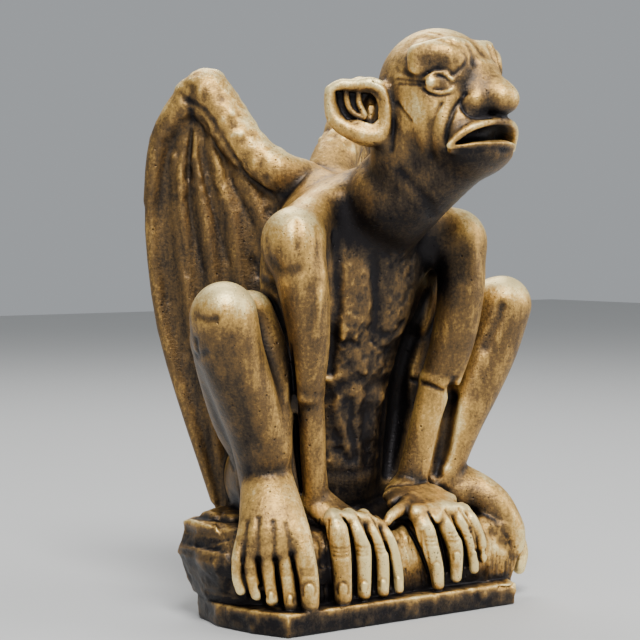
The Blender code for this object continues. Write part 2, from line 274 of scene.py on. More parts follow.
class Clay:
    """A block of space whose field says how far each place is from the surface, below zero inside."""

    FAR = 30.0

    def __init__(self, *lines: np.ndarray) -> None:
        """Start with empty space on a grid of lines along X, Y and Z."""
        self.lines = lines
        self.field = np.full([len(line) for line in lines], self.FAR, np.float32)
        self.dice = np.random.default_rng(7)
        self.layers: list[np.ndarray] = []

    def window(self, low: np.ndarray, high: np.ndarray) -> tuple[tuple[slice, ...], list[np.ndarray]]:
        """Cut the grid down to a box.

        Args:
            low: The box's lowest corner.
            high: Its highest corner.

        Returns:
            The slices of the field, and the X, Y and Z of its places, ready to broadcast.
        """
        cut, grids = [], []
        for axis, line in enumerate(self.lines):
            start = max(int(np.searchsorted(line, low[axis])) - 1, 0)
            stop = max(int(np.searchsorted(line, high[axis])) + 1, start + 1)
            cut.append(slice(start, stop))
            grids.append(on_axis(line[start:stop], axis))
        return tuple(cut), grids

    def merge(self, cut: tuple[slice, ...], near: np.ndarray, how: Join, blend: float) -> None:
        """Join a mass to the clay, or cut it out, with a fillet of about the width of blend."""
        held, near = self.field[cut], near * how.value
        joined = np.minimum(held, near) if how is Join.ADD else np.maximum(held, near)
        self.field[cut] = joined - how.value * fillet(held, near, blend)

    def put(self, mass: Egg | Limb, side: int = 1, axes: np.ndarray = UPRIGHT,
            origin: Sequence[float] = (0, 0, 0)) -> None:
        """Put on a mass whose numbers are in a frame of its own.

        Args:
            mass: The egg or limb.
            side: -1 turns X round in that frame, for the right one of a pair.
            axes: The frame's axes as columns.
            origin: The frame's origin.
        """
        flip = (side, 1, 1)
        rows = [mass.centre] if isinstance(mass, Egg) else mass.rows
        places = [[*(axes @ (np.asarray(row[:3], float) * flip) + origin), *row[3:]] for row in rows]
        if isinstance(mass, Egg):
            self.lump(places[0], mass.radii, axes, mass.blend, mass.how)
        else:
            self.limb(places, axes @ (np.asarray(mass.wide, float) * flip), mass.blend, mass.how)

    def limb(self, stations: Points, wide: Sequence[float] = (1, 0, 0), blend: float = 3.0,
             how: Join = Join.ADD, steps: int = 4) -> None:
        """Put on a round-ended limb.

        Args:
            stations: Rows of x, y, z, half width and half depth; one radius alone makes a round limb.
            wide: The direction of the half width.
            blend: Width of the fillet where it joins.
            how: Whether it adds or cuts.
            steps: Pieces between two stations.
        """
        line = smooth_line([list(s) + [s[3]] * (5 - len(s)) for s in stations], steps)
        reach = line[:, 3:].max() + blend + 1
        cut, _ = self.window(line[:, :3].min(0) - reach, line[:, :3].max(0) + reach)
        near = np.full(self.field[cut].shape, self.FAR, np.float32)
        for a, b in zip(line, line[1:]):
            self._stretch(cut, near, a, b, np.asarray(wide, float), blend + 1)
        self.merge(cut, near, how, blend)

    def _stretch(self, cut: tuple[slice, ...], near: np.ndarray, a: np.ndarray, b: np.ndarray,
                 wide: np.ndarray, pad: float) -> None:
        """Write one straight stretch of a limb into the distances near, which cover the window cut."""
        reach = max(a[3:].max(), b[3:].max()) + pad
        inner, (x, y, z) = self.window(np.minimum(a, b)[:3] - reach, np.maximum(a, b)[:3] + reach)
        local = tuple(slice(i.start - c.start, i.stop - c.start) for i, c in zip(inner, cut))
        run = b[:3] - a[:3]
        length = math.sqrt(run @ run) + 1e-6
        axis = run / length
        x, y, z = x - a[0], y - a[1], z - a[2]
        t = np.clip((x * axis[0] + y * axis[1] + z * axis[2]) / length, 0, 1).astype(np.float32)
        x, y, z = x - t * run[0], y - t * run[1], z - t * run[2]
        ru, rv = a[3] + t * (b[3] - a[3]), a[4] + t * (b[4] - a[4])
        if a[3] == a[4] and b[3] == b[4]:
            found = np.sqrt(x * x + y * y + z * z) - ru
        else:
            across = wide - axis * (axis @ wide)
            across /= math.sqrt(across @ across)
            third = np.cross(axis, across)
            u = x * across[0] + y * across[1] + z * across[2]
            v = x * third[0] + y * third[1] + z * third[2]
            w = x * axis[0] + y * axis[1] + z * axis[2]
            found = egg_distance(u, v, w, ru, rv, np.minimum(ru, rv))
        near[local] = np.minimum(near[local], found)

    def lump(self, centre: Sequence[float], radii: Sequence[float], turn: np.ndarray = UPRIGHT,
             blend: float = 3.0, how: Join = Join.ADD) -> None:
        """Put on an egg of clay.

        Args:
            centre: Its middle.
            radii: Its half sizes along its own axes.
            turn: A matrix whose columns are its own axes.
            blend: Width of the fillet where it joins.
            how: Whether it adds or cuts.
        """
        centre = np.asarray(centre, float)
        reach = max(radii) + blend + 1
        cut, (x, y, z) = self.window(centre - reach, centre + reach)
        x, y, z = x - centre[0], y - centre[1], z - centre[2]
        u, v, w = (x * column[0] + y * column[1] + z * column[2] for column in turn.T)
        near = egg_distance(u, v, w, *radii).astype(np.float32)
        self.merge(cut, near, how, blend)

    def block(self, corners: Points, levels: Points, edge: float = 1.5, blend: float = 1.0) -> None:
        """Put on a block.

        Args:
            corners: Its plan.
            levels: Pairs of height and how far the sides stand in from the plan there, lowest first.
            edge: Rounding of its top and bottom edges.
            blend: Width of the fillet where it joins.
        """
        plan, level = np.asarray(corners, float), np.asarray(levels, float)
        low, high = np.append(plan.min(0), level[0, 0]) - 9, np.append(plan.max(0), level[-1, 0]) + 9
        cut, (x, y, z) = self.window(low, high)
        side = plan_distance(x, y, corners) + np.interp(z, level[:, 0], level[:, 1])
        cap = np.maximum(z - level[-1, 0], level[0, 0] - z)
        near = np.maximum(side, cap) + fillet(side, cap, edge)
        self.merge(cut, near.astype(np.float32), Join.ADD, blend)

    def panel(self, origin: Sequence[float], frame: np.ndarray, outline: Points, low: float, high: float,
              blend: float = 1.0, how: Join = Join.ADD) -> None:
        """Put on a flat panel.

        Args:
            origin: The point that its outline counts from.
            frame: Its axes as columns: out of its face, along, and up.
            outline: Its corners, along and up.
            low: Where it starts, along the first axis.
            high: Where it ends.
            blend: Width of the fillet where it joins, and rounding of its edges.
            how: Whether it adds or cuts.
        """
        reach = np.abs(np.asarray(outline)).max() + abs(low) + abs(high)
        cut, grid = self.window(np.asarray(origin) - reach, np.asarray(origin) + reach)
        away = [g - o for g, o in zip(grid, origin)]
        out, along, up = (sum(a * c for a, c in zip(away, column)) for column in frame.T)
        side, cap = plan_distance(along, up, outline), np.maximum(out - high, low - out)
        near = np.maximum(side, cap) + fillet(side, cap, blend)
        self.merge(cut, near.astype(np.float32), how, blend)

    def cut_flat(self, top: float = 4.0) -> None:
        """Cut away what lies below height 0, working no higher up than top."""
        low, high = (np.array([line[end] for line in self.lines]) for end in (0, -1))
        high[2] = top
        cut, (_, _, z) = self.window(low, high)
        self.field[cut] = np.maximum(self.field[cut], -z)

    def keep(self) -> None:
        """Remember the surface as it is now, as one more layer that vertices can be told from."""
        self.layers.append(self.field.astype(np.float16))

    def roughen(self, low: Sequence[float], high: Sequence[float], size: float, height: float) -> None:
        """Make the surface uneven inside a box, with bumps of a size and height."""
        cut, grids = self.window(np.asarray(low), np.asarray(high))
        bumps = height * self.dice.normal(size=[int(np.ptp(g) / size) + 3 for g in grids])
        for axis, grid in enumerate(grids):
            at = (grid.ravel() - grid.min()) / size
            i = at.astype(int)
            t = at - i
            t = on_axis(t * t * (3 - 2 * t), axis)
            bumps = np.take(bumps, i, axis) * (1 - t) + np.take(bumps, i + 1, axis) * t
            bumps = bumps * np.clip(np.minimum(grid - grid.min(), grid.max() - grid) / 5, 0, 1)
        self.field[cut] += bumps.astype(np.float32)

    def press(self, points: Points, width: float, depth: float, steps: int = 3) -> None:
        """Press a soft groove along a line, or raise a ridge where depth is below zero."""
        line = smooth_line(points, steps) if len(points) > 1 else np.asarray([points[0], points[0]], float)
        reach = 2.4 * width
        cut, (x, y, z) = self.window(line.min(0) - reach, line.max(0) + reach)
        near = np.full(self.field[cut].shape, 1e6, np.float32)
        for a, b in zip(line, line[1:]):
            run = b - a
            t = ((x - a[0]) * run[0] + (y - a[1]) * run[1] + (z - a[2]) * run[2]) / (run @ run + 1e-9)
            t = np.clip(t, 0, 1)
            away = [g - a[k] - t * run[k] for k, g in enumerate((x, y, z))]
            near = np.minimum(near, away[0] ** 2 + away[1] ** 2 + away[2] ** 2)
        self.field[cut] += (depth * np.exp(-near / width**2)).astype(np.float32)

    def sample(self, points: np.ndarray, layer: int | None = None) -> np.ndarray:
        """Read the field, or a kept layer of it, at points."""
        return read_field(self.lines, self.field if layer is None else self.layers[layer], points)

    def seen(self, view: PhotoView, pixels: Points) -> np.ndarray:
        """Where the lines of sight through pixels first meet the surface; a miss is left out."""
        far = np.arange(view.distance - 160, view.distance + 160, 0.5)
        found = []
        for ray in view.rays(pixels):
            path = view.eye() + ray * far[:, None]
            depth = self.sample(path)
            hit = int(np.argmax(depth < 0))
            if hit:
                share = depth[hit - 1] / (depth[hit - 1] - depth[hit])
                found.append(path[hit - 1] + share * (path[hit] - path[hit - 1]))
        return np.asarray(found)

    def skin(self) -> tuple[np.ndarray, np.ndarray]:
        """Find the surface.

        Returns:
            The points of its skin, and its four-sided faces as rows of point numbers.
        """
        inside = self.field < 0
        corners = np.zeros([n - 1 for n in inside.shape], np.uint8)
        steps = [(a, b, c) for a in (0, 1) for b in (0, 1) for c in (0, 1)]
        for a, b, c in steps:
            corners += inside[a:inside.shape[0] - 1 + a, b:inside.shape[1] - 1 + b, c:inside.shape[2] - 1 + c]
        cells = np.argwhere((corners > 0) & (corners < 8))
        numbers = np.full(corners.shape, -1, np.int32)
        numbers[tuple(cells.T)] = np.arange(len(cells))
        total, count = np.zeros((len(cells), 3)), np.zeros(len(cells))
        for axis in range(3):
            for a, b, c in steps:
                if (a, b, c)[axis]:
                    continue
                low = cells + (a, b, c)
                high = low.copy()
                high[:, axis] += 1
                da, db = self.field[tuple(low.T)], self.field[tuple(high.T)]
                cross = (da < 0) != (db < 0)
                t = np.where(cross, da / np.where(cross, da - db, 1), 0)
                for k, line in enumerate(self.lines):
                    place = line[low[:, k]] + t * (line[high[:, k]] - line[low[:, k]])
                    total[:, k] += np.where(cross, place, 0)
                count += cross
        points = total / count[:, None]
        faces = []
        for axis in range(3):
            u, v = (axis + 1) % 3, (axis + 2) % 3
            here = [slice(1, -1)] * 3
            here[axis] = slice(0, -1)
            there = list(here)
            there[axis] = slice(1, None)
            change = inside[tuple(here)] != inside[tuple(there)]
            at = np.argwhere(change) + [0 if k == axis else 1 for k in range(3)]
            unit = np.eye(3, dtype=int)
            ring = [at, at - unit[u], at - unit[u] - unit[v], at - unit[v]]
            quad = np.stack([numbers[tuple(cell.T)] for cell in ring], axis=1)
            leaves = inside[tuple(at.T)]
            quad[~leaves] = quad[~leaves][:, ::-1]
            faces.append(quad)
        return points, np.concatenate(faces)

    def crowding(self, points: np.ndarray, radii: Sequence[float], pitch: float = 1.5) -> list[np.ndarray]:
        """How much clay lies round each point: half on a flat, more in a hollow, less on a ridge.

        Args:
            points: Where to ask.
            radii: How far round a point to look, one answer each.
            pitch: Spacing of the grid that the question is asked on.

        Returns:
            One array of shares for each radius.
        """
        rulers = [np.arange(line[0] - 30, line[-1] + 30, pitch) for line in self.lines]
        picks = [np.clip(np.searchsorted(line, r), 0, len(line) - 1) for line, r in zip(self.lines, rulers)]
        solid = np.clip(0.5 - self.field[np.ix_(*picks)] / pitch, 0, 1)
        # Below the ground counts as partly solid, so what stands near the floor takes painted shade from it.
        solid[:, :, rulers[2] < 0] = 0.6
        answers = []
        for radius in radii:
            blurred, half = solid, max(int(radius / pitch / 1.7), 1)
            for axis in (0, 1, 2) * 2:
                pad = [(half + 1, half) if k == axis else (0, 0) for k in range(3)]
                run = np.cumsum(np.pad(blurred, pad, mode="edge"), axis)
                top = np.take(run, range(2 * half + 1, run.shape[axis]), axis)
                low = np.take(run, range(run.shape[axis] - 2 * half - 1), axis)
                blurred = (top - low) / (2 * half + 1)
            answers.append(read_field(rulers, blurred, points))
        return answers


def egg_distance(u: np.ndarray, v: np.ndarray, w: np.ndarray, ru: Any, rv: Any, rw: Any) -> np.ndarray:
    """Distance from an egg with half sizes ru, rv and rw, close to the true one near its surface."""
    a, b, c = u / ru, v / rv, w / rw
    k0 = np.sqrt(a * a + b * b + c * c)
    k1 = np.sqrt((a / ru) ** 2 + (b / rv) ** 2 + (c / rw) ** 2) + 1e-6
    return k0 * (k0 - 1) / k1


@dataclass
class Sculptor:
    """Clay with the viewpoint that its fine lines are drawn from."""

    clay: Clay
    view: PhotoView

    def draw(self, stroke: Stroke) -> list[np.ndarray]:
        """Draw a stroke on what it meets.

        Args:
            stroke: The line.

        Returns:
            Its points on the surface, one run for each stretch between edges that it jumps over.
        """
        points = self.clay.seen(self.view, smooth_line(stroke.pixels, 3))
        jumps = np.flatnonzero(np.linalg.norm(np.diff(points, axis=0), axis=1) > 9) + 1
        runs = [run for run in np.split(points, jumps) if len(run) > 1]
        for run in runs:
            self.clay.press(run, stroke.width, stroke.depth, 1)
        return runs

    def draw_all(self, strokes: Sequence[Stroke]) -> None:
        """Draw strokes one after the other."""
        for stroke in strokes:
            self.draw(stroke)

    def slot(self, stroke: Stroke) -> None:
        """Cut a deep narrow slot along a stroke, away from the viewer."""
        away = self.view.axes()[2]
        points = self.clay.seen(self.view, smooth_line(stroke.pixels, 2))
        if len(points) > 1:
            last = len(points) - 1
            taper = np.interp(np.arange(last + 1), [0, 0.3 * last, 0.8 * last, last], [0.3, 1, 1, 0.6])
            rows = [[*p, stroke.depth * t, stroke.width * t] for p, t in zip(points, taper)]
            self.clay.limb(rows, wide=away, blend=max(0.8, 0.7 * stroke.width), how=Join.CUT, steps=1)

    def nail(self, x: float, y: float, radius: float) -> None:
        """Draw a nail: a groove round its root, at a pixel, with a flat of a radius in millimetres."""
        turns = np.linspace(-0.5, 3.6, 8)
        arc = [(x + 2.0 * radius * math.cos(a), y - 2.5 * radius * math.sin(a)) for a in turns]
        self.draw(Stroke("round the nail", 0.62, 1.35, arc))
        self.draw(Stroke("nail", 0.8 * radius, -0.45, ((x, y - 1), (x, y + 3))))

    def creases(self, joints: Points, gap: float, width: float, depth: float) -> None:
        """Draw three creases, gap pixels apart, over each joint, a row of x, y and half their length."""
        for x, y, wide in joints:
            for step in (-gap, 0, gap):
                line = ((x - wide, y + step), (x, y + step + 1), (x + wide, y + step))
                self.draw(Stroke("crease of a joint", width, depth, line))


@dataclass
class Base:
    """Thin slab with a block of rough rock on it, in millimetres.

    Attributes:
        width: Of the slab.
        depth: Of the slab, front to back.
        slab: Its height.
        rock: Height of the rock above it.
        ledge: How far the rock stands in from the slab's edge.
        boulders: The left ones, each with its plan and with pairs of height and inset, as in Clay.block.
        ledges: Lines that break the rock into ledges.
        stratum_gap: Pixels from one stratum to the next.
        strata: The first stratum of each group, and how many there are.
    """

    width: float = 164.0
    depth: float = 98.0
    slab: float = 11.0
    rock: float = 34.0
    ledge: float = 8.0
    boulders: tuple[tuple[Points, Points], ...] = (
        (((50, -24), (76, -22), (85, -8), (86, 8), (81, 29), (66, 40), (50, 40)), ((0, 7), (20, 0), (25, 1))),
        (((50, -16), (72, -14), (80, 0), (81, 14), (79, 28), (66, 38), (50, 38)),
         ((20, -3), (25, -1), (36, 0))),
        (((50, 2), (66, 6), (72, 16), (70, 30), (50, 34)), ((34, 0), (40, 3))),
    )
    ledges: tuple[Stroke, ...] = (
        Stroke("lip of the upper ledge", 1.0, -0.8, ((182, 517), (197, 522), (214, 523))),
        Stroke("under the upper ledge", 2.4, 1.4, ((184, 530), (198, 533), (214, 532), (226, 522))),
        Stroke("split in the upper rock", 0.9, 1.4, ((222, 512), (218, 524), (226, 536))),
        Stroke("lip of the lower ledge", 0.9, -0.8, ((180, 547), (200, 549), (222, 544), (237, 538))),
        Stroke("slanting vein", 0.8, 0.9, ((208, 560), (222, 552), (236, 550))),
        Stroke("foot of the rock", 1.4, 1.2, ((192, 592), (215, 594), (238, 598))),
        Stroke("notch in the side", 1.8, 1.5, ((228, 540), (233, 565), (231, 590))),
        Stroke("under the left hand", 3.0, 2.2, ((396, 526), (403, 522), (412, 530))),
        Stroke("right end of the rock", 2.5, 1.5, ((488, 548), (484, 568), (487, 586))),
    )
    stratum_gap: float = 3.7
    strata: tuple[tuple[Sequence[float], Sequence[float], Sequence[float], int], ...] = (
        ((393, 532), (398, 560), (404, 594), 9),
        ((489, 546), (487, 566), (486, 588), 9),
        ((316, 520), (319, 550), (322, 600), 4),
        ((213, 524), (216, 532), (218, 540), 6),
    )

    @property
    def top(self) -> float:
        """Height of the rock's top."""
        return self.slab + self.rock

    @property
    def front(self) -> float:
        """Y of the rock's front face."""
        return self.ledge - self.depth / 2

    def plan(self, inset: float, right: Points, left: Points) -> list[tuple[float, float]]:
        """Corners of a plan, from shares of the half sizes that remain inside an inset."""
        half_x, half_y = self.width / 2 - inset, self.depth / 2 - inset
        half = [(-x * half_x, y * half_y) for x, y in right]
        return half + [(x * half_x, y * half_y) for x, y in left[::-1]]

    def model(self, clay: Clay) -> None:
        """Put the slab and the rock into the clay."""
        slab = ((0.35, 1.0), (0.7, 0.85), (0.93, 0.4), (1.0, -0.1), (0.96, -0.6), (0.87, -1.0))
        back = ((0.4, 1.0), (0.75, 0.9), (1.04, 0.5))
        right = back + ((1.1, 0.1), (1.06, -0.35), (0.68, -0.98))
        left = back + ((1.12, 0.1), (1.17, -0.7), (1.08, -0.98))
        middle = self.slab + 0.5 * self.rock
        steps = [(-3, 4), (self.slab, 3), (middle, -1), (self.top - 6, 0), (self.top, 6)]
        clay.block(self.plan(self.ledge, right, left), steps, edge=3)
        clay.lump((0, 22, self.top - 2), (62, 28, 15), blend=6)
        for side in Side:
            for corners, levels in self.boulders:
                plan = [(side.value * x, y) for x, y in corners]
                clay.block(plan, [(z + self.slab, inset) for z, inset in levels], edge=1.6, blend=1.5)
        half = self.width / 2 + 12
        low, high = (-half, -self.depth / 2, self.slab), (half, self.depth / 2 + 9, self.top + 14)
        clay.roughen(low, high, 10.0, 0.7)
        clay.roughen(low, high, 2.4, 0.2)
        clay.block(self.plan(0, slab, slab), [(-3, 1.5), (2, 0.5), (self.slab, 0)], edge=1.2)
        clay.roughen((-half, -self.depth / 2 - 4, -1), (half, self.depth / 2 + 9, self.slab + 2), 4.0, 0.35)
        clay.keep()

    def carve(self, sculptor: Sculptor) -> None:
        """Break the rock into ledges and draw its strata."""
        sculptor.draw_all(self.ledges)
        dice = sculptor.clay.dice
        for *path, count in self.strata:
            for k in range(count):
                line = [(x + self.stratum_gap * k + dice.normal(), y) for x, y in path]
                sculptor.draw(Stroke("stratum", 0.62, 1.6, line))


@dataclass
class Body:
    """Trunk, neck, arms and folded legs; heights count from the rock's top.

    What stands on both sides is given as on the left, and X is turned round for the right.

    Attributes:
        floor: Height of the rock's top.
        trunk: Masses on the middle, in the order they are put on.
        breast_shift: How far both breasts are moved in X.
        rough_skin: Rows of how high the rough skin of the belly reaches, and its bumps' size and height.
        slots: Deep cuts.
        strokes: Muscles and folds.
    """

    floor: float
    trunk: tuple[Egg | Limb, ...] = (
        Limb("clay between the legs",
             ((0, 16, 8, 52, 14), (0, 13, 50, 58, 12), (0, 9, 88, 58, 11), (0, 6, 104, 46, 10)), 2),
        Limb("waist and chest",
             ((0, 18, 16, 30, 24), (0, 8, 48, 24, 19), (0, 2, 70, 25, 19), (0, -1, 92, 31, 20),
              (0, -5, 120, 40, 23), (0, -8, 143, 39, 21), (0, -10, 152, 32, 17)), 3),
        Egg("hunched back", (0, 6, 142), (36, 21, 28), 8),
        Limb("neck", ((1, -18, 146, 25, 22), (6, -41, 166, 23, 23), (12, -62, 177, 19, 18),
                      (16, -76, 183, 16, 15)), 8),
    )
    flank: Egg = Egg("flank", (39, -5, 121), (15, 12, 33), 6)
    breast: Egg = Egg("breast", (13.5, -19, 117), (13, 7.5, 27), 7)
    breast_shift: float = -1.5
    collar: Limb = Limb("collar", ((9, -22, 124, 12, 5), (25, -20, 130, 13, 6),
                                   (42, -20, 136, 9, 8)), 5, (0, 0, 1))
    thigh: tuple[Egg | Limb, ...] = (
        Egg("haunch", (28, 25, 20), (24, 23, 25), 4),
        Limb("thigh", ((85, -15, 103, 15, 14), (75, -3, 84, 15, 15), (58, 7, 54, 15, 17),
                       (46, 11, 36, 14, 17), (42, 16, 22, 14, 18)), 3),
    )
    right_inner_thigh: Limb = Limb(
        "inner side", ((62, -5, 104, 11, 12), (57, -8, 84, 12, 14), (55, -9, 60, 12, 15),
                       (58, -11, 40, 12, 14)), 2.5)
    left_inner_thigh: Limb = Limb(
        "inner side", ((64, -1, 102, 10, 11), (62, -2, 84, 10, 12), (60, -3, 60, 10, 12),
                       (60, -8, 40, 11, 13)), 2.5)
    shin: tuple[Egg | Limb, ...] = (
        Limb("crook of the knee", ((84, -13, 98, 10, 16), (62, 1, 86, 11, 24),
                                   (40, 8, 74, 12, 28)), 6, (0, 1, 0)),
        Limb("shin", ((87, -20, 105, 15, 15), (80, -17, 84, 15, 16), (71, -14, 65, 14, 17),
                      (61, -11, 44, 13, 16), (55, -8, 24, 12.5, 14), (54, -9, 10, 12.5, 13)), 4),
        Egg("outer side of the knee", (84, -1, 93), (8, 8, 10), 2.5),
    )
    arm: tuple[Egg | Limb, ...] = (
        Limb("shoulder", ((0, -12, 157, 16, 14), (28, -16, 151, 12.5, 12.5),
                          (49, -23, 140, 12, 12)), 8, (0, 1, 0)),
        Egg("deltoid", (51.5, -25, 137), (14.5, 15, 17), 6),
        Limb("upper arm", ((51, -26, 138, 14, 14), (49, -31, 115, 12, 12), (45, -30, 90, 11, 9.5),
                           (41, -24, 67, 10, 7)), 3, (0.8, -0.6, 0)),
        Limb("forearm", ((40, -23, 68, 8.5, 6.8), (36, -20, 50, 7.5, 6.2), (33, -17, 32, 7.5, 6),
                         (30, -15, 16, 8, 6)), 2.5, (0.8, -0.6, 0)),
    )
    rough_skin: Points = ((136, 2.0, 0.22), (100, 2.4, 0.2), (100, 6.0, 0.45))
    slots: tuple[Stroke, ...] = (
        Stroke("between the right arm and the thigh", 1.7, 5.0,
               ((291, 345), (292, 365), (294, 400), (297, 450), (302, 492))),
        Stroke("between the left arm and the chest", 5.0, 6.0,
               ((427, 296), (420, 318), (411, 342), (403, 366), (398, 395), (394, 430), (388, 474))),
        Stroke("between the left forearm and the leg", 4.4, 5.0,
               ((455, 380), (450, 398), (446, 422), (442, 448), (437, 472))),
    )
    strokes: tuple[Stroke, ...] = (
        Stroke("between the right arm and the chest", 2.2, 3.6,
               ((336, 236), (338, 262), (338, 300), (334, 335), (330, 372))),
        Stroke("breastbone", 3.2, 2.2, ((374, 262), (376, 285), (378, 308), (376, 330))),
        Stroke("hollow under the neck", 8.0, 3.5, ((345, 212), (355, 228), (368, 242), (384, 252))),
        Stroke("hollow of the left armpit", 5.0, 1.5, ((424, 250), (430, 268), (432, 284))),
        Stroke("notch under the left breast", 2.0, 1.2, ((404, 322), (392, 336), (382, 334))),
        Stroke("top of the belly", 3.2, 1.8, ((330, 398), (342, 386), (356, 380), (372, 384), (388, 380))),
        Stroke("fold of the belly", 4.5, 1.8, ((370, 392), (366, 425), (368, 465))),
        Stroke("right fold of the belly", 2.0, -0.8, ((336, 400), (340, 425), (347, 448))),
        Stroke("left fold of the belly", 2.0, 1.2, ((352, 400), (352, 430), (356, 460))),
        Stroke("under the right deltoid", 2.8, 0.9, ((266, 240), (272, 262), (284, 272), (298, 270))),
        Stroke("front of the right deltoid", 3.0, 0.8, ((318, 230), (318, 262), (312, 290))),
        Stroke("cleft of the right deltoid", 1.6, 0.7, ((298, 222), (299, 236), (298, 248))),
        Stroke("tendon of the right arm", 1.8, -0.8, ((320, 292), (319, 312), (316, 335))),
        Stroke("behind the right arm", 2.4, 2.0, ((255, 262), (262, 280), (280, 289))),
        Stroke("edge of the right thigh", 1.2, -0.7, ((271, 290), (282, 310), (286, 345), (287, 400))),
        Stroke("crook of the left elbow", 0.9, 2.4, ((411, 380), (422, 383), (433, 387), (443, 391))),
        Stroke("end of the left upper arm", 2.4, -0.7, ((414, 373), (428, 377), (444, 382))),
        Stroke("crook of the right elbow", 2.0, 0.4, ((300, 392), (312, 396), (324, 394))),
        Stroke("left wrist", 0.9, 1.1, ((384, 488), (398, 485), (414, 484), (429, 480))),
        Stroke("under the right knee", 1.8, 1.4, ((216, 318), (208, 320), (198, 316))),
        Stroke("below the knee's knob", 2.0, 0.9, ((186, 352), (196, 356), (206, 352))),
        Stroke("shin bone", 5.0, 0.9, ((228, 345), (234, 375), (243, 405), (250, 440))),
        Stroke("calf", 5.0, 0.8, ((262, 345), (266, 385), (270, 420))),
        Stroke("left knee", 2.4, 1.2, ((502, 306), (498, 320), (492, 334), (485, 348))),
        Stroke("left shin", 4.0, 0.8, ((497, 350), (488, 370), (478, 395))),
        Stroke("left deltoid", 5.0, 0.9, ((452, 232), (462, 250), (466, 275))),
        Stroke("side of the neck", 4.0, 0.9, ((362, 160), (372, 178), (390, 192))),
        Stroke("throat", 3.0, 0.8, ((400, 172), (420, 192), (432, 214))),
    )

    def model(self, clay: Clay) -> None:
        """Put the body into the clay: trunk and neck, and on each side a folded leg and an arm."""
        root = (0, 0, self.floor)
        for mass in self.trunk:
            clay.put(mass, origin=root)
        for side in Side:
            clay.put(self.flank, side.value, origin=root)
            clay.put(self.breast, side.value, origin=(self.breast_shift, 0, self.floor))
            clay.put(self.collar, side.value, origin=root)
        for side in Side:
            inner = self.right_inner_thigh if side is Side.RIGHT else self.left_inner_thigh
            for mass in (*self.thigh, inner, *self.shin, *self.arm):
                clay.put(mass, side.value, origin=root)

    def carve(self, sculptor: Sculptor) -> None:
        """Draw the muscles and folds that the photograph shows."""
        for stroke in self.slots:
            sculptor.slot(stroke)
        sculptor.draw_all(self.strokes)
        for top, size, height in self.rough_skin:
            sculptor.clay.roughen((-27, -60, self.floor + 24), (26, 0, self.floor + top), size, height)


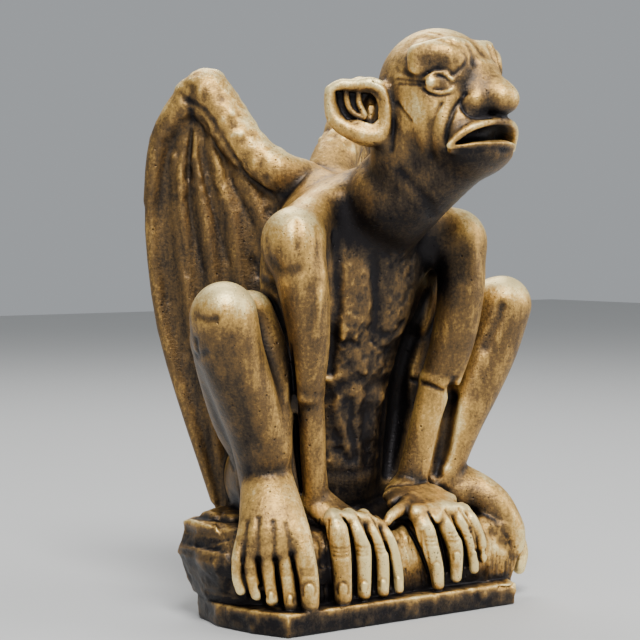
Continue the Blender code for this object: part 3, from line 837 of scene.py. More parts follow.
@dataclass
class Hands:
    """Both hands, flat on the rock with the fingers hanging over its front edge.

    Attributes:
        base: The rock.
        knuckle_rows: For each hand the knuckles, as pixels and radius.
        right_fingers: For each finger its path, as pixels and radius, and how far back it lies.
        left_fingers: The same for the left hand.
        before_rock: Y of the five points of a finger, from the rock's front face.
        left_thumb: Rows of pixel, Y and radius.
        slots: Deep cuts between the fingers.
        nails: Pixel and radius of each nail.
        joints: Pixel and half width of each joint.
        strokes: Tendons and the backs of the hands.
    """

    base: Base
    knuckle_rows: tuple[Points, ...] = (
        ((332, 519, 4.2), (348, 519, 3.8), (364, 520, 3.4), (379, 525, 2.8)),
        ((416, 514, 4.4), (434, 512, 4.4), (450, 510, 4.0), (464, 510, 3.4)),
    )
    right_fingers: tuple[tuple[Points, float], ...] = (
        (((333, 517, 4.4), (337, 530, 5.0), (340, 550, 5.1), (342, 575, 4.6), (343, 598, 4.2)), -1.0),
        (((348, 516, 4.0), (358, 532, 4.0), (363, 550, 3.9), (364, 575, 3.5), (364, 594, 3.2)), -0.6),
        (((363, 516, 3.6), (374, 534, 3.5), (381, 552, 3.3), (383, 574, 3.1), (383, 592, 2.8)), -0.2),
        (((375, 521, 2.8), (387, 536, 2.9), (394, 553, 2.7), (398, 572, 2.5), (399, 589, 2.3)), 0.2),
    )
    left_fingers: tuple[tuple[Points, float], ...] = (
        (((416, 512, 4.4), (424, 528, 4.9), (430, 548, 4.5), (436, 568, 3.7), (438, 585, 3.0)), -0.6),
        (((434, 510, 4.2), (446, 525, 4.3), (454, 544, 4.1), (456, 562, 3.4), (456, 577, 2.8)), -0.4),
        (((450, 508, 3.6), (461, 521, 3.6), (469, 538, 3.3), (473, 555, 2.9), (474, 569, 2.4)), 0.0),
        (((461, 508, 3.0), (471, 519, 3.1), (479, 536, 2.8), (483, 551, 2.5), (484, 562, 2.1)), 0.4),
    )
    before_rock: tuple[float, ...] = (5, -1.5, -2.2, -1.8, -1.5)
    left_thumb: Points = (((408, 505), -30, 4.0), ((398, 511), -35, 3.2), ((391, 516), -38, 2.6),
                          ((387, 522), -39, 2.0))
    slots: tuple[Stroke, ...] = (
        Stroke("right fingers 1 and 2", 1.1, 3.4,
               ((341, 514), (347, 526), (352, 545), (353, 566), (354, 596))),
        Stroke("right fingers 2 and 3", 1.0, 3.2,
               ((356, 513), (364, 527), (371, 543), (374, 565), (374, 592))),
        Stroke("right fingers 3 and 4", 0.9, 2.8,
               ((371, 516), (379, 530), (386, 545), (390, 564), (391, 588))),
        Stroke("left fingers 1 and 2", 1.1, 3.2, ((428, 512), (438, 532), (444, 552), (447, 574))),
        Stroke("left fingers 2 and 3", 1.0, 3.0, ((445, 510), (458, 530), (464, 550), (465, 568))),
        Stroke("left fingers 3 and 4", 0.9, 2.6, ((458, 508), (470, 526), (477, 548), (479, 562))),
        Stroke("under the left thumb", 2.4, 5.0, ((401, 520), (396, 522), (391, 528))),
        Stroke("beside the left forefinger", 1.2, 3.0, ((404, 522), (412, 535), (421, 553), (428, 572))),
    )
    nails: Points = ((343, 590, 3.1), (364, 587, 2.5), (383, 584, 2.1), (398, 580, 1.6), (437, 568, 2.4),
                     (457, 557, 2.3), (474, 554, 1.9), (483, 552, 1.4))
    joints: Points = ((341, 552, 8), (363, 551, 6), (382, 549, 4.5), (432, 541, 6), (454, 537, 5),
                      (468, 532, 3))
    strokes: tuple[Stroke, ...] = (
        Stroke("tendon of the right forefinger", 1.4, -0.5, ((326, 505), (331, 512), (335, 520))),
        Stroke("back of the left hand", 3.5, -0.4, ((400, 492), (420, 494), (440, 502))),
        Stroke("left hand, tendon 1", 1.6, -0.3, ((400, 495), (408, 502), (416, 512))),
        Stroke("left hand, tendon 2", 1.6, -0.3, ((412, 492), (424, 499), (434, 510))),
        Stroke("left hand, tendon 3", 1.6, -0.3, ((424, 491), (438, 497), (450, 507))),
    )

    def model(self, clay: Clay, view: PhotoView) -> None:
        """Put the palms and fingers into the clay; a finger's path is where the photograph shows it."""
        top, front = self.base.top, self.base.front
        right = [(-29, -14, top + 12, 9, 7), (-25, -24, top + 5, 12, 5.5), (-21, front + 6, top + 1, 17, 5)]
        left = [(29, -14, top + 14, 10, 7), (27, -24, top + 9, 20, 6.5), (34, front + 6, top + 5, 19, 5)]
        for palm in (right, left):
            clay.limb(palm, blend=2.0)
        for row in self.knuckle_rows:
            clay.limb([[*view.at_y(p, front + 2), r] for *p, r in row], blend=2.0)
        for path, back in (*self.right_fingers, *self.left_fingers):
            rows = [[*view.at_y(p, front + y + back), p[2]] for p, y in zip(path, self.before_rock)]
            clay.limb(rows, blend=1.2)
        clay.limb([[*view.at_y(p, y), r] for p, y, r in self.left_thumb], blend=1.5)

    def carve(self, sculptor: Sculptor) -> None:
        """Cut between the fingers and mark knuckles and nails."""
        for stroke in self.slots:
            sculptor.slot(stroke)
        for x, y, radius in self.nails:
            sculptor.nail(x, y, radius)
        sculptor.creases(self.joints, 4, 0.6, 1.1)
        sculptor.draw_all(self.strokes)


@dataclass
class Feet:
    """Both feet, turned out, with the toes over the rock's front corners.

    Attributes:
        base: The rock.
        right_instep: Rows of pixel, depth as in PhotoView.at_depth, and both half sizes.
        right_toes: For each toe its path, as pixels and radius.
        toe_depths: Depth of the five points of a toe, as in PhotoView.at_depth.
        left_foot: Rows of pixel, Y and radius, down to the end of the big toe.
        hidden_toes: How many toes of the left foot lie behind those that show.
        left_second_toe: Rows of pixel, Y and radius.
        slots: Deep cuts between the toes.
        nails: Pixel and radius of each nail.
        joints: Pixel and half width of each joint.
        strokes: Tendons and the edges of the foot.
    """

    base: Base
    right_instep: Points = (((268, 486), -44, (13, 10)), ((271, 508), -53, (15, 10)),
                            ((274, 530), -60.5, (16.5, 8)), ((276, 546), -63, (17, 6.5)))
    right_toes: tuple[Points, ...] = (
        ((288, 508, 4.5), (297, 530, 5.2), (304, 556, 5.3), (309, 582, 4.7), (310, 604, 4.3)),
        ((278, 508, 3.6), (282, 532, 4.0), (285, 556, 3.7), (288, 582, 3.1), (291, 605, 3.1)),
        ((266, 508, 3.4), (266, 532, 3.8), (267, 556, 3.5), (269, 580, 2.9), (272, 600, 2.9)),
        ((256, 510, 3.2), (251, 534, 3.7), (249, 557, 3.5), (251, 578, 3.2), (257, 594, 3.0)),
        ((249, 514, 2.8), (243, 537, 3.2), (238, 558, 3.0), (237, 575, 2.7), (241, 590, 2.5)),
    )
    toe_depths: tuple[float, ...] = (-56.0, -61.0, -64.5, -64.5, -64.0)
    left_foot: Points = (((462, 484), -14, 10.0), ((478, 494), -22, 10.5), ((492, 505), -28, 10.2),
                         ((503, 517), -33, 8.5), ((511, 531), -36, 7.3), ((513, 544), -37, 5.8))
    hidden_toes: int = 4
    left_second_toe: Points = (((517, 540), -26, 4.5), ((521, 553), -28, 3.8), ((519, 568), -30, 3.2))
    slots: tuple[Stroke, ...] = (
        Stroke("right toes 1 and 2", 1.1, 4.5, ((291, 556), (295, 572), (298, 590), (301, 606))),
        Stroke("right toes 2 and 3", 1.1, 4.0, ((275, 562), (277, 580), (280, 596), (283, 610))),
        Stroke("right toes 3 and 4", 1.0, 3.6, ((258, 562), (260, 578), (262, 592), (265, 603))),
        Stroke("right toes 4 and 5", 0.7, 2.6, ((243, 560), (243, 575), (247, 590), (251, 600))),
    )
    nails: Points = ((309, 591, 3.4), (290, 600, 2.2), (271, 596, 1.9))
    joints: Points = ((307, 572, 7), (286, 572, 5), (267, 570, 4), (250, 572, 4))
    strokes: tuple[Stroke, ...] = (
        Stroke("between tendons 1 and 2", 1.1, 1.0, ((286, 524), (289, 540), (291, 554))),
        Stroke("between tendons 2 and 3", 1.1, 1.0, ((273, 522), (274, 540), (275, 560))),
        Stroke("between tendons 3 and 4", 1.1, 1.0, ((258, 518), (258, 540), (258, 560))),
        Stroke("between tendons 4 and 5", 1.1, 1.0, ((247, 522), (245, 540), (243, 560))),
        Stroke("hollow under the left foot", 3.5, 3.0, ((494, 534), (499, 541), (506, 546))),
        Stroke("crease under the left foot", 1.6, 2.0, ((443, 488), (460, 500), (474, 512), (486, 528))),
        Stroke("ridge of the left foot", 3.0, -0.5, ((484, 478), (500, 496), (512, 515), (519, 532))),
        Stroke("left ankle bone", 3.5, -0.8, ((446, 470), (452, 472))),
    )

    def model(self, clay: Clay, view: PhotoView) -> None:
        """Put the feet into the clay; the right foot's toes are where the photograph shows them."""
        top = self.base.top
        clay.limb([(-55, -10, top + 12, 13, 12), (-60, -20, top + 5, 15, 10), (-62, -24, top - 4, 16, 9)],
                  wide=(0.8, -0.6, 0), blend=2.5)
        instep = [[*view.at_depth(p, depth), *sizes] for p, depth, sizes in self.right_instep]
        clay.limb(instep, wide=view.axes()[0], blend=2.5)
        for path in self.right_toes:
            rows = [[*view.at_depth(p, depth), p[2]] for p, depth in zip(path, self.toe_depths)]
            clay.limb(rows, blend=1.6)
        clay.limb([(55, -10, top + 12, 12, 12), (62, -16, top + 9, 12, 11)], wide=(0.7, 0.7, 0), blend=2.5)
        for path, blend in ((self.left_foot, 3), (self.left_second_toe, 1.2)):
            clay.limb([[*view.at_y(p, y), r] for p, y, r in path], blend=blend)
        side, front = self.base.width / 2 - self.base.ledge, self.base.front
        for k in range(self.hidden_toes):
            x, y = 1.14 * side, front + 15 + 9 * k
            path = [(0.85 * x, 0.7 * y - 2, 2), (x - 1, y, -4), (x + 0.5, y - 0.5, -12), (x, y - 1, -20)]
            clay.limb([(px, py, top + z, 4.3 - 0.25 * k) for px, py, z in path], blend=1.2)

    def carve(self, sculptor: Sculptor) -> None:
        """Cut between the toes and mark tendons and nails."""
        for stroke in self.slots:
            sculptor.slot(stroke)
        sculptor.draw_all(self.strokes)
        for x, y, radius in self.nails:
            sculptor.nail(x, y, radius)
        sculptor.creases(self.joints, 3, 0.55, 0.7)


@dataclass
class Head:
    """Bald head, turned to its left, with a heavy brow, an open down-turned mouth and large ears.

    Numbers are in the head's own frame: X to its left, Y to its back, from its middle. Those of an ear count
    from the ear's root, out of its plate, along it, and up.

    Attributes:
        middle: The head's middle in the part's frame.
        turn_deg: How far the head is turned.
        flare_deg: How far the ears stand out from the head.
        ear_root: Where the left ear's plate leaves the cheek.
        skull: Masses on the middle.
        half_face: Masses of the left half, the same on the right.
        muzzle: From its right corner to the middle, as are the chin, the mouth and the lips.
        ear_rim: Rows of how far along, how far up, and radius.
        ear_bowl: Outline of the bowl, along and up.
        ear_folds: Ridges in the bowl, along and up.
        iris: Its pixel.
        iris_reach: Its radius in pixels.
        strokes: Lids, wrinkles and folds of the half that shows, drawn on the other too.
    """

    middle: tuple[float, float, float] = (12.0, -58.0, 256.0)
    turn_deg: float = 13.0
    flare_deg: float = 35.0
    ear_root: tuple[float, float, float] = (27.0, 13.0, 0.0)
    skull: tuple[Egg | Limb, ...] = (
        Egg("dome", (0, 2, 0), (27, 29, 29), 6),
        Egg("cheeks", (0, -6, -14), (27, 22, 20), 8),
        Egg("upper jaw", (0, -14, -22), (24, 22, 15), 8),
        Egg("chin", (0, -21, -27), (20, 17, 13), 6),
        Limb("bridge of the nose", ((0, -20, 9, 6, 6), (0, -26, 4, 6.5, 6.5), (0, -31.5, -2.5, 8.5, 7.5)), 4),
        Egg("tip of the nose", (0, -35.5, -6), (8.5, 8.5, 7.5), 4),
    )
    half_face: tuple[Egg | Limb, ...] = (
        Egg("socket", (18.5, -22, 1), (8.5, 4.2, 5), 4, Join.CUT),
        Limb("brow", ((7, -19, 14.5, 6, 8.5), (16, -16.5, 13.6, 6.5, 9.6), (25, -5.5, 10.8, 5, 8.8)), 3),
        Egg("inner corner of the eye", (12, -19.5, 0), (8.5, 5.5, 9), 7),
        Egg("eyelids", (19.5, -13.4, 1.4), (8.5, 3.8, 5), 2),
        Egg("eyeball", (17.8, -15.4, 1.5), (4.4, 3.4, 3.5), 0.6),
        Limb("side of the nose", ((3.5, -24.5, 8, 4.5, 4.5), (6.5, -26.5, 0, 5.5, 5.5),
                                  (9, -28, -7, 6.5, 5.6)), 4),
        Egg("nostril", (5.5, -34.5, -13), (1.6, 2.2, 0.9), 0.8, Join.CUT),
        Egg("corner of the jaw", (18, 12, -27), (10, 14, 14), 6),
    )
    muzzle: Points = ((-23.5, -25, -27, 1.8), (-17, -31, -20.5, 1.8), (0, -36, -16.8, 1.8))
    chin: Points = ((-22, -23, -29.5, 1.8), (-13, -29.5, -29.5, 1.8), (0, -33, -29, 1.8))
    mouth: Points = ((-24.2, -25.5, -28, 0.9), (-16.5, -30.5, -24, 3.0), (-8, -34.5, -22.3, 3.9),
                     (0, -36, -21.9, 4.1))
    upper_lip: Points = ((-26.2, -24.5, -28, 1.0), (-20.5, -29.5, -21.4, 1.0), (-11, -34.8, -17.6, 1.0),
                         (0, -37.2, -16.4, 1.0))
    lower_lip: Points = ((-25.4, -24.5, -29, 0.9), (-18, -29.8, -28.4, 0.9), (-8, -34.4, -26.8, 0.9),
                         (0, -35.8, -26.4, 0.9))
    ear_masses: tuple[Egg | Limb, ...] = (
        Egg("plate", (-1.5, 10, -11), (4.5, 14.5, 14.5), 3),
        Egg("lobe", (-0.5, 6, -20), (5, 9, 8), 3),
        Egg("upper corner", (-2, 18, -6), (3.5, 9, 9), 2),
        Limb("root", ((-2, -1, -2, 5), (-2, -1, -12, 5), (-2, -1, -24, 5)), 3),
    )
    ear_rim: Points = ((25, -1.5, 2.9), (20, 1.2, 2.8), (13.5, 1.0, 2.8), (7, 1.7, 3.2), (2.2, 0.2, 3.2),
                       (-1, -4, 3.0), (-2, -10, 3.0), (-1.5, -17, 3.3), (2, -22.5, 4.2), (9, -22.5, 4.6),
                       (15, -20.5, 4.3), (20, -17.8, 3.9), (23.8, -14, 3.4), (25.2, -8.5, 2.9),
                       (25.2, -4, 2.9), (25, -1.5, 2.9))
    ear_bowl: Points = ((22.6, -1.6), (15.3, -2.1), (6.6, -2.7), (4.2, -4.8), (2.5, -9), (2.5, -15),
                        (5, -17.5), (9, -16.2), (12, -15.2), (17.5, -15.2), (20.3, -11.8), (22.2, -7))
    ear_hollow: Egg = Egg("hollow", (0, 6.5, -10), (5.5, 3.6, 6.8), 1.0, Join.CUT)
    ear_folds: tuple[Points, ...] = (
        ((17.8, -1.8), (17.4, -6.2), (16, -10), (13, -13), (9.4, -14.2)),
        ((11.8, -2.4), (11.8, -6.6), (10.6, -9.8), (9, -13)),
    )
    iris: tuple[float, float] = (440.5, 84.0)
    iris_reach: float = 2.8
    strokes: tuple[Stroke, ...] = (
        Stroke("upper eyelid", 0.8, -1.3, ((423, 80), (428, 75), (434, 72), (441, 72), (448, 75), (453, 80))),
        Stroke("under the upper eyelid", 0.5, 0.9,
               ((428, 80), (433, 77), (439, 76), (445, 78), (449, 82), (451, 86))),
        Stroke("over the upper eyelid", 0.7, 1.0, ((424, 76), (430, 70), (438, 67.5), (447, 69), (453, 75))),
        Stroke("lower eyelid", 0.8, -1.2, ((423, 85), (430, 90.5), (438, 93), (446, 92.5), (452, 89))),
        Stroke("over the lower eyelid", 0.4, 0.5, ((430, 87), (436, 89.5), (443, 89.5), (449, 87.5))),
        Stroke("under the lower eyelid", 0.8, 0.6, ((424, 89), (431, 94.5), (440, 96), (449, 94))),
        Stroke("corner of the eye", 3.0, 0.6, ((457, 80), (461, 85), (462, 90))),
        Stroke("edge of the brow", 0.9, 1.3,
               ((404, 71), (414, 76), (424, 75), (437, 69), (449, 75), (458, 71), (465, 64), (467, 57),
                (464, 52))),
        Stroke("crease over the brow", 2.4, 0.9, ((408, 46), (418, 37), (434, 38), (452, 43), (466, 50))),
        Stroke("hollow of the brow", 4.5, 0.9, ((412, 58), (424, 62), (438, 63))),
        Stroke("upper crow's foot", 0.6, 0.9, ((422, 78.5), (410, 76), (397, 71))),
        Stroke("middle crow's foot", 0.6, 1.0, ((423, 82), (410, 80.5), (396, 79))),
        Stroke("lower crow's foot", 0.6, 1.0, ((423, 85.5), (411, 84.5), (399, 84))),
        Stroke("upper wrinkle of the forehead", 0.8, 0.7, ((428, 32), (442, 35), (455, 41), (468, 45))),
        Stroke("lower wrinkle of the forehead", 0.9, 0.6, ((440, 40), (452, 43), (462, 47))),
        Stroke("between the brows", 2.0, 1.3, ((470, 46), (473, 54), (474, 62))),
        Stroke("round the nostril", 0.8, 1.6,
               ((465, 94), (461, 100), (462, 108), (467, 115), (477, 118), (490, 118))),
        Stroke("fold from nose to mouth", 0.9, 1.7,
               ((460, 101), (455, 108), (451, 117), (448, 128), (446, 140), (446, 150))),
        Stroke("upper lip", 2.6, -0.5, ((462, 115), (457, 122), (454, 132))),
        Stroke("upper crease of the cheek", 0.8, 1.2, ((441, 104), (437, 110), (434, 118))),
        Stroke("fold of the cheek", 2.4, 1.0, ((431, 122), (429, 136), (431, 155))),
        Stroke("swell of the cheek", 4.0, -0.5, ((446, 106), (441, 122), (439, 142))),
        Stroke("back crease of the cheek", 0.8, 1.3, ((397, 103), (403, 111), (411, 121))),
        Stroke("swell behind the crease", 2.0, -0.6, ((391, 108), (398, 118), (404, 128))),
        Stroke("before the ear", 0.9, 1.8,
               ((375, 80), (386, 86), (391, 98), (393, 118), (393, 135), (392, 150))),
        Stroke("under the lower lip", 1.8, 0.9, ((457, 152), (470, 151), (482, 149), (495, 148), (508, 151))),
        Stroke("temple", 4.0, 0.8, ((404, 46), (399, 56), (397, 66))),
    )

    def axes(self) -> np.ndarray:
        """The head's own axes, as columns: its left, its back, and up."""
        a = math.radians(self.turn_deg)
        return np.array([[math.cos(a), -math.sin(a), 0], [math.sin(a), math.cos(a), 0], [0, 0, 1]])

    def mirrored(self, points: np.ndarray) -> np.ndarray:
        """Points on the face's other half."""
        own = (points - self.middle) @ self.axes()
        return (own * (-1, 1, 1)) @ self.axes().T + self.middle

    def ear_frame(self, side: int) -> np.ndarray:
        """Axes of an ear's plate in the part's frame, as columns: out of the plate, along it, and up."""
        a = math.radians(self.flare_deg)
        out = (side * math.cos(a), -math.sin(a), 0)
        along = (side * math.sin(a), math.cos(a), 0)
        return self.axes() @ np.array([out, along, (0, 0, 1)]).T

    def model(self, clay: Clay) -> None:
        """Put the head into the clay."""
        for mass in self.skull:
            clay.put(mass, 1, self.axes(), self.middle)
        for side in Side:
            for mass in self.half_face:
                clay.put(mass, side.value, self.axes(), self.middle)
            self.ear(clay, side.value)
        for rows in (self.muzzle, self.chin):
            clay.put(Limb("jaw", both_halves(rows), 3.5), 1, self.axes(), self.middle)
        for back, spread in ((-2.0, 1.0), (4.0, 0.9)):
            rows = [(x * spread, y + back, z, 5.0, tall) for x, y, z, tall in both_halves(self.mouth)]
            clay.put(Limb("mouth", rows, 1.0, (0, 1, 0), Join.CUT), 1, self.axes(), self.middle)
        for rows in (self.upper_lip, self.lower_lip):
            clay.put(Limb("lip", both_halves(rows), 1.5), 1, self.axes(), self.middle)

    def ear(self, clay: Clay, side: int) -> None:
        """Plate, lobe and rim of an ear, with its bowl and inner folds."""
        frame = self.ear_frame(side)
        root = self.axes() @ (np.array(self.ear_root) * (side, 1, 1)) + self.middle
        rim = Limb("rim", [(1.5, along, up, radius) for along, up, radius in self.ear_rim], 1.5)
        for mass in (*self.ear_masses, rim):
            clay.put(mass, 1, frame, root)
        clay.panel(root, frame, self.ear_bowl, -0.8, 12, 1.0, Join.CUT)
        folds = [Limb("fold", [(0.3, along, up, 1.5) for along, up in fold], 0.6) for fold in self.ear_folds]
        for mass in (self.ear_hollow, *folds):
            clay.put(mass, 1, frame, root)

    def carve(self, sculptor: Sculptor) -> None:
        """Draw lids, wrinkles and folds on the side that shows, and the same on the other."""
        (x, y), reach = self.iris, self.iris_reach
        ring = [(x + reach * math.cos(a), y + reach * math.sin(a)) for a in np.linspace(0, 2 * math.pi, 10)]
        iris = Stroke("round the iris", 0.35, -0.25, ring)
        for stroke in (*self.strokes, iris):
            for run in sculptor.draw(stroke):
                sculptor.clay.press(self.mirrored(run), stroke.width, stroke.depth, 1)


@dataclass
class Wings:
    """Folded wings: a thick arm up to each wrist, and a sheet between the finger bones that hang from it.

    Attributes:
        floor: Height of the rock's top, from which the other heights count.
        thickness: Of the sheet, which stands at 45 degrees to the body.
        sag: How far the skin hangs back between two bones.
        rounding: Of the sheet's edges.
        root: How far from the middle plane the sheet starts.
        back: Y of the same place.
        right_arm: Rows of x, y, z and radius, with X as on the left.
        left_arm: The same for the left wing.
        bones: How far out and how high each bone runs, outermost first.
    """

    floor: float
    thickness: float = 5.5
    sag: float = 1.5
    rounding: float = 2.0
    root: float = 20.0
    back: float = 22.0
    knuckle: Points = ((9.0, 49, 211), (5.5, 65, 189), (3.0, 70, 159))
    right_arm: Points = ((6, 14, 158, 15), (10, 22, 167, 12), (24, 26, 173, 11), (34, 36, 184, 11),
                         (42, 44, 199, 12), (49, 51, 213, 12))
    left_arm: Points = ((6, 14, 158, 15), (9, 24, 168, 13), (15, 30, 178, 12), (26, 36, 190, 11),
                        (38, 44, 203, 12), (49, 51, 213, 12))
    strokes: tuple[Stroke, ...] = (
        Stroke("under the arm of the wing", 1.5, 1.8,
               ((186, 100), (206, 112), (225, 143), (247, 176), (270, 192))),
        Stroke("knob of the wrist", 2.0, 1.0, ((180, 92), (188, 100), (192, 88))),
        Stroke("fold 1 of the skin", 1.3, 1.0, ((186, 128), (176, 165), (176, 205), (181, 245), (187, 275))),
        Stroke("fold 2 of the skin", 1.1, 1.2, ((192, 130), (189, 165), (190, 205), (196, 240), (203, 270))),
        Stroke("fold 3 of the skin", 1.0, 1.0, ((198, 132), (203, 170), (212, 205), (221, 238), (229, 264))),
        Stroke("fold 4 of the skin", 1.2, 0.7, ((206, 125), (222, 160), (238, 195), (252, 225))),
        Stroke("fold 5 of the skin", 2.0, 0.6, ((168, 130), (160, 180), (160, 240), (168, 300))),
        Stroke("rib 1", 2.0, -0.3, ((189, 130), (183, 165), (183, 205), (188, 240), (194, 270))),
        Stroke("rib 2", 2.0, -0.3, ((195, 130), (196, 165), (201, 205), (208, 238), (214, 264))),
        Stroke("fold at the foot of the wing", 1.4, 1.2, ((196, 340), (204, 385), (218, 430), (233, 468))),
    )
    bones: tuple[tuple[tuple[float, float], ...], ...] = (
        ((49, 211), (65, 189), (70, 159), (69, 129), (64, 94), (54, 59), (44, 29), (37, 8)),
        ((46, 207), (54, 185), (55, 159), (53, 129), (48, 94), (40, 59), (35, 29), (31, 6)),
        ((43, 204), (46, 180), (42, 153), (38, 125), (33, 94), (28, 59), (26, 29), (24, 4)),
        ((40, 200), (36, 176), (28, 149), (24, 121), (20, 94), (18, 59), (18, 29), (18, 2)),
        ((36, 196), (24, 174), (14, 152), (6, 125), (2, 94), (2, 59), (6, 29), (10, 2)),
        ((28, 190), (10, 172), (-2, 152), (-6, 125), (-6, 94), (-6, 59), (-4, 29), (0, 2)),
    )

    def at(self, side: int, out: float, height: float) -> list[float]:
        """A point of the sheet: how far out from its root, and how high above the rock."""
        return [side * (self.root + out * SLANT), self.back + out * SLANT, height + self.floor]

    def model(self, clay: Clay) -> None:
        """Put both wings into the clay."""
        for side in Side:
            self.sheet(clay, side.value)
            for bone in self.bones:
                clay.limb([[*self.at(side.value, s, h), 3.0] for s, h in bone], blend=3, steps=2)
            clay.limb([[*self.at(side.value, s, h), r] for r, s, h in self.knuckle], blend=3)
            arm = self.right_arm if side is Side.RIGHT else self.left_arm
            clay.put(Limb("arm", arm, 2.0), side.value, origin=(0, 0, self.floor))

    def skin_share(self, points: np.ndarray) -> np.ndarray:
        """How far each point hangs below the wing's arm, from 0 on the arm to 1 on the skin."""
        out = (np.abs(points[:, 0]) - self.root + points[:, 1] - self.back) * SLANT
        arm = np.interp(out, (0, 41), (167, 213))
        return np.clip((arm - 9 - (points[:, 2] - self.floor)) / 8, 0, 1)

    def sheet(self, clay: Clay, side: int) -> None:
        """Put on the skin between the bones, which sags back from the viewer between each two."""
        lines = [smooth_line(bone, 3) for bone in self.bones]
        corners = np.array([self.at(side, s, h) for line in lines for s, h in line])
        cut, (x, y, z) = clay.window(corners.min(0) - 8, corners.max(0) + 8)
        across, along = (x * side - self.root) * SLANT, (y - self.back) * SLANT
        out, off, height = across + along, across - along, z - self.floor
        reach = [np.interp(height, line[::-1, 1], line[::-1, 0]) for line in lines]
        middle = np.zeros(np.broadcast(out, height).shape, np.float32)
        for outer, inner in zip(reach, reach[1:]):
            width = np.maximum(outer - inner, 0.5)
            share = np.clip((out - inner) / width, 0, 1)
            middle = middle - np.minimum(self.sag, 0.24 * width) * np.sin(np.pi * share)
        tops = np.array([line[0] for line in lines])[::-1]
        rim = np.maximum(out - reach[0], reach[-1] - out) * 0.9
        cap = np.maximum(height - np.interp(out, tops[:, 0], tops[:, 1]), 1 - height)
        flat = np.abs(off - middle) - self.thickness / 2
        edge = np.maximum(rim, cap)
        near = np.maximum(flat, edge) + fillet(flat, edge, self.rounding)
        clay.merge(cut, near.astype(np.float32), Join.ADD, 1.5)

    def carve(self, sculptor: Sculptor) -> None:
        """Draw the crease under the arm and the fine folds of the skin."""
        sculptor.draw_all(self.strokes)
        clay = sculptor.clay
        for side in Side:
            low, high = sorted((side.value * 8, side.value * 70))
            clay.roughen((low, 18, self.floor + 150), (high, 66, self.floor + 232), 3.5, 0.35)


class Shader:
    """Node tree of a material, with short calls to add and join its nodes."""

    def __init__(self, name: str) -> None:
        """Start a material with a Principled shader."""
        self.material = bpy.data.materials.new(name)
        self.material.use_nodes = True
        self.tree = self.material.node_tree
        self.surface = self.tree.nodes["Principled BSDF"]

    def node(self, kind: str, inputs: dict[Any, Any] | None = None, **settings: Any) -> bpy.types.Node:
        """Add a node.

        Args:
            kind: The node's type name after "ShaderNode".
            inputs: Values or sockets for its inputs, by name or number.
            **settings: Its own properties.

        Returns:
            The node.
        """
        made = self.tree.nodes.new("ShaderNode" + kind)
        for key, value in settings.items():
            setattr(made, key, value)
        for key, value in (inputs or {}).items():
            if isinstance(value, bpy.types.NodeSocket):
                self.tree.links.new(value, made.inputs[key])
            else:
                made.inputs[key].default_value = value
        return made

    def math(self, operation: str, *values: Any) -> bpy.types.NodeSocket:
        """Do a sum on values or sockets and return the result's socket."""
        return self.node("Math", dict(enumerate(values)), operation=operation).outputs[0]

    def spread(self, value: Any, low: float, high: float) -> bpy.types.NodeSocket:
        """Turn a value's range from low to high into 0 to 1 with soft ends."""
        inputs = {"Value": value, "From Min": low, "From Max": high}
        return self.node("MapRange", inputs, interpolation_type="SMOOTHSTEP").outputs[0]

    def noise(self, where: Any, scale: float, detail: float = 3.0, rough: float = 0.55,
              stretch: float = 1.0) -> bpy.types.NodeSocket:
        """Cloudy noise with a number of bumps to the metre, and stretch times as many of them upwards."""
        if stretch != 1.0:
            where = self.node("Mapping", {0: where, "Scale": (1, 1, stretch)}).outputs[0]
        inputs = {"Vector": where, "Scale": scale, "Detail": detail, "Roughness": rough}
        return self.node("TexNoise", inputs).outputs[0]


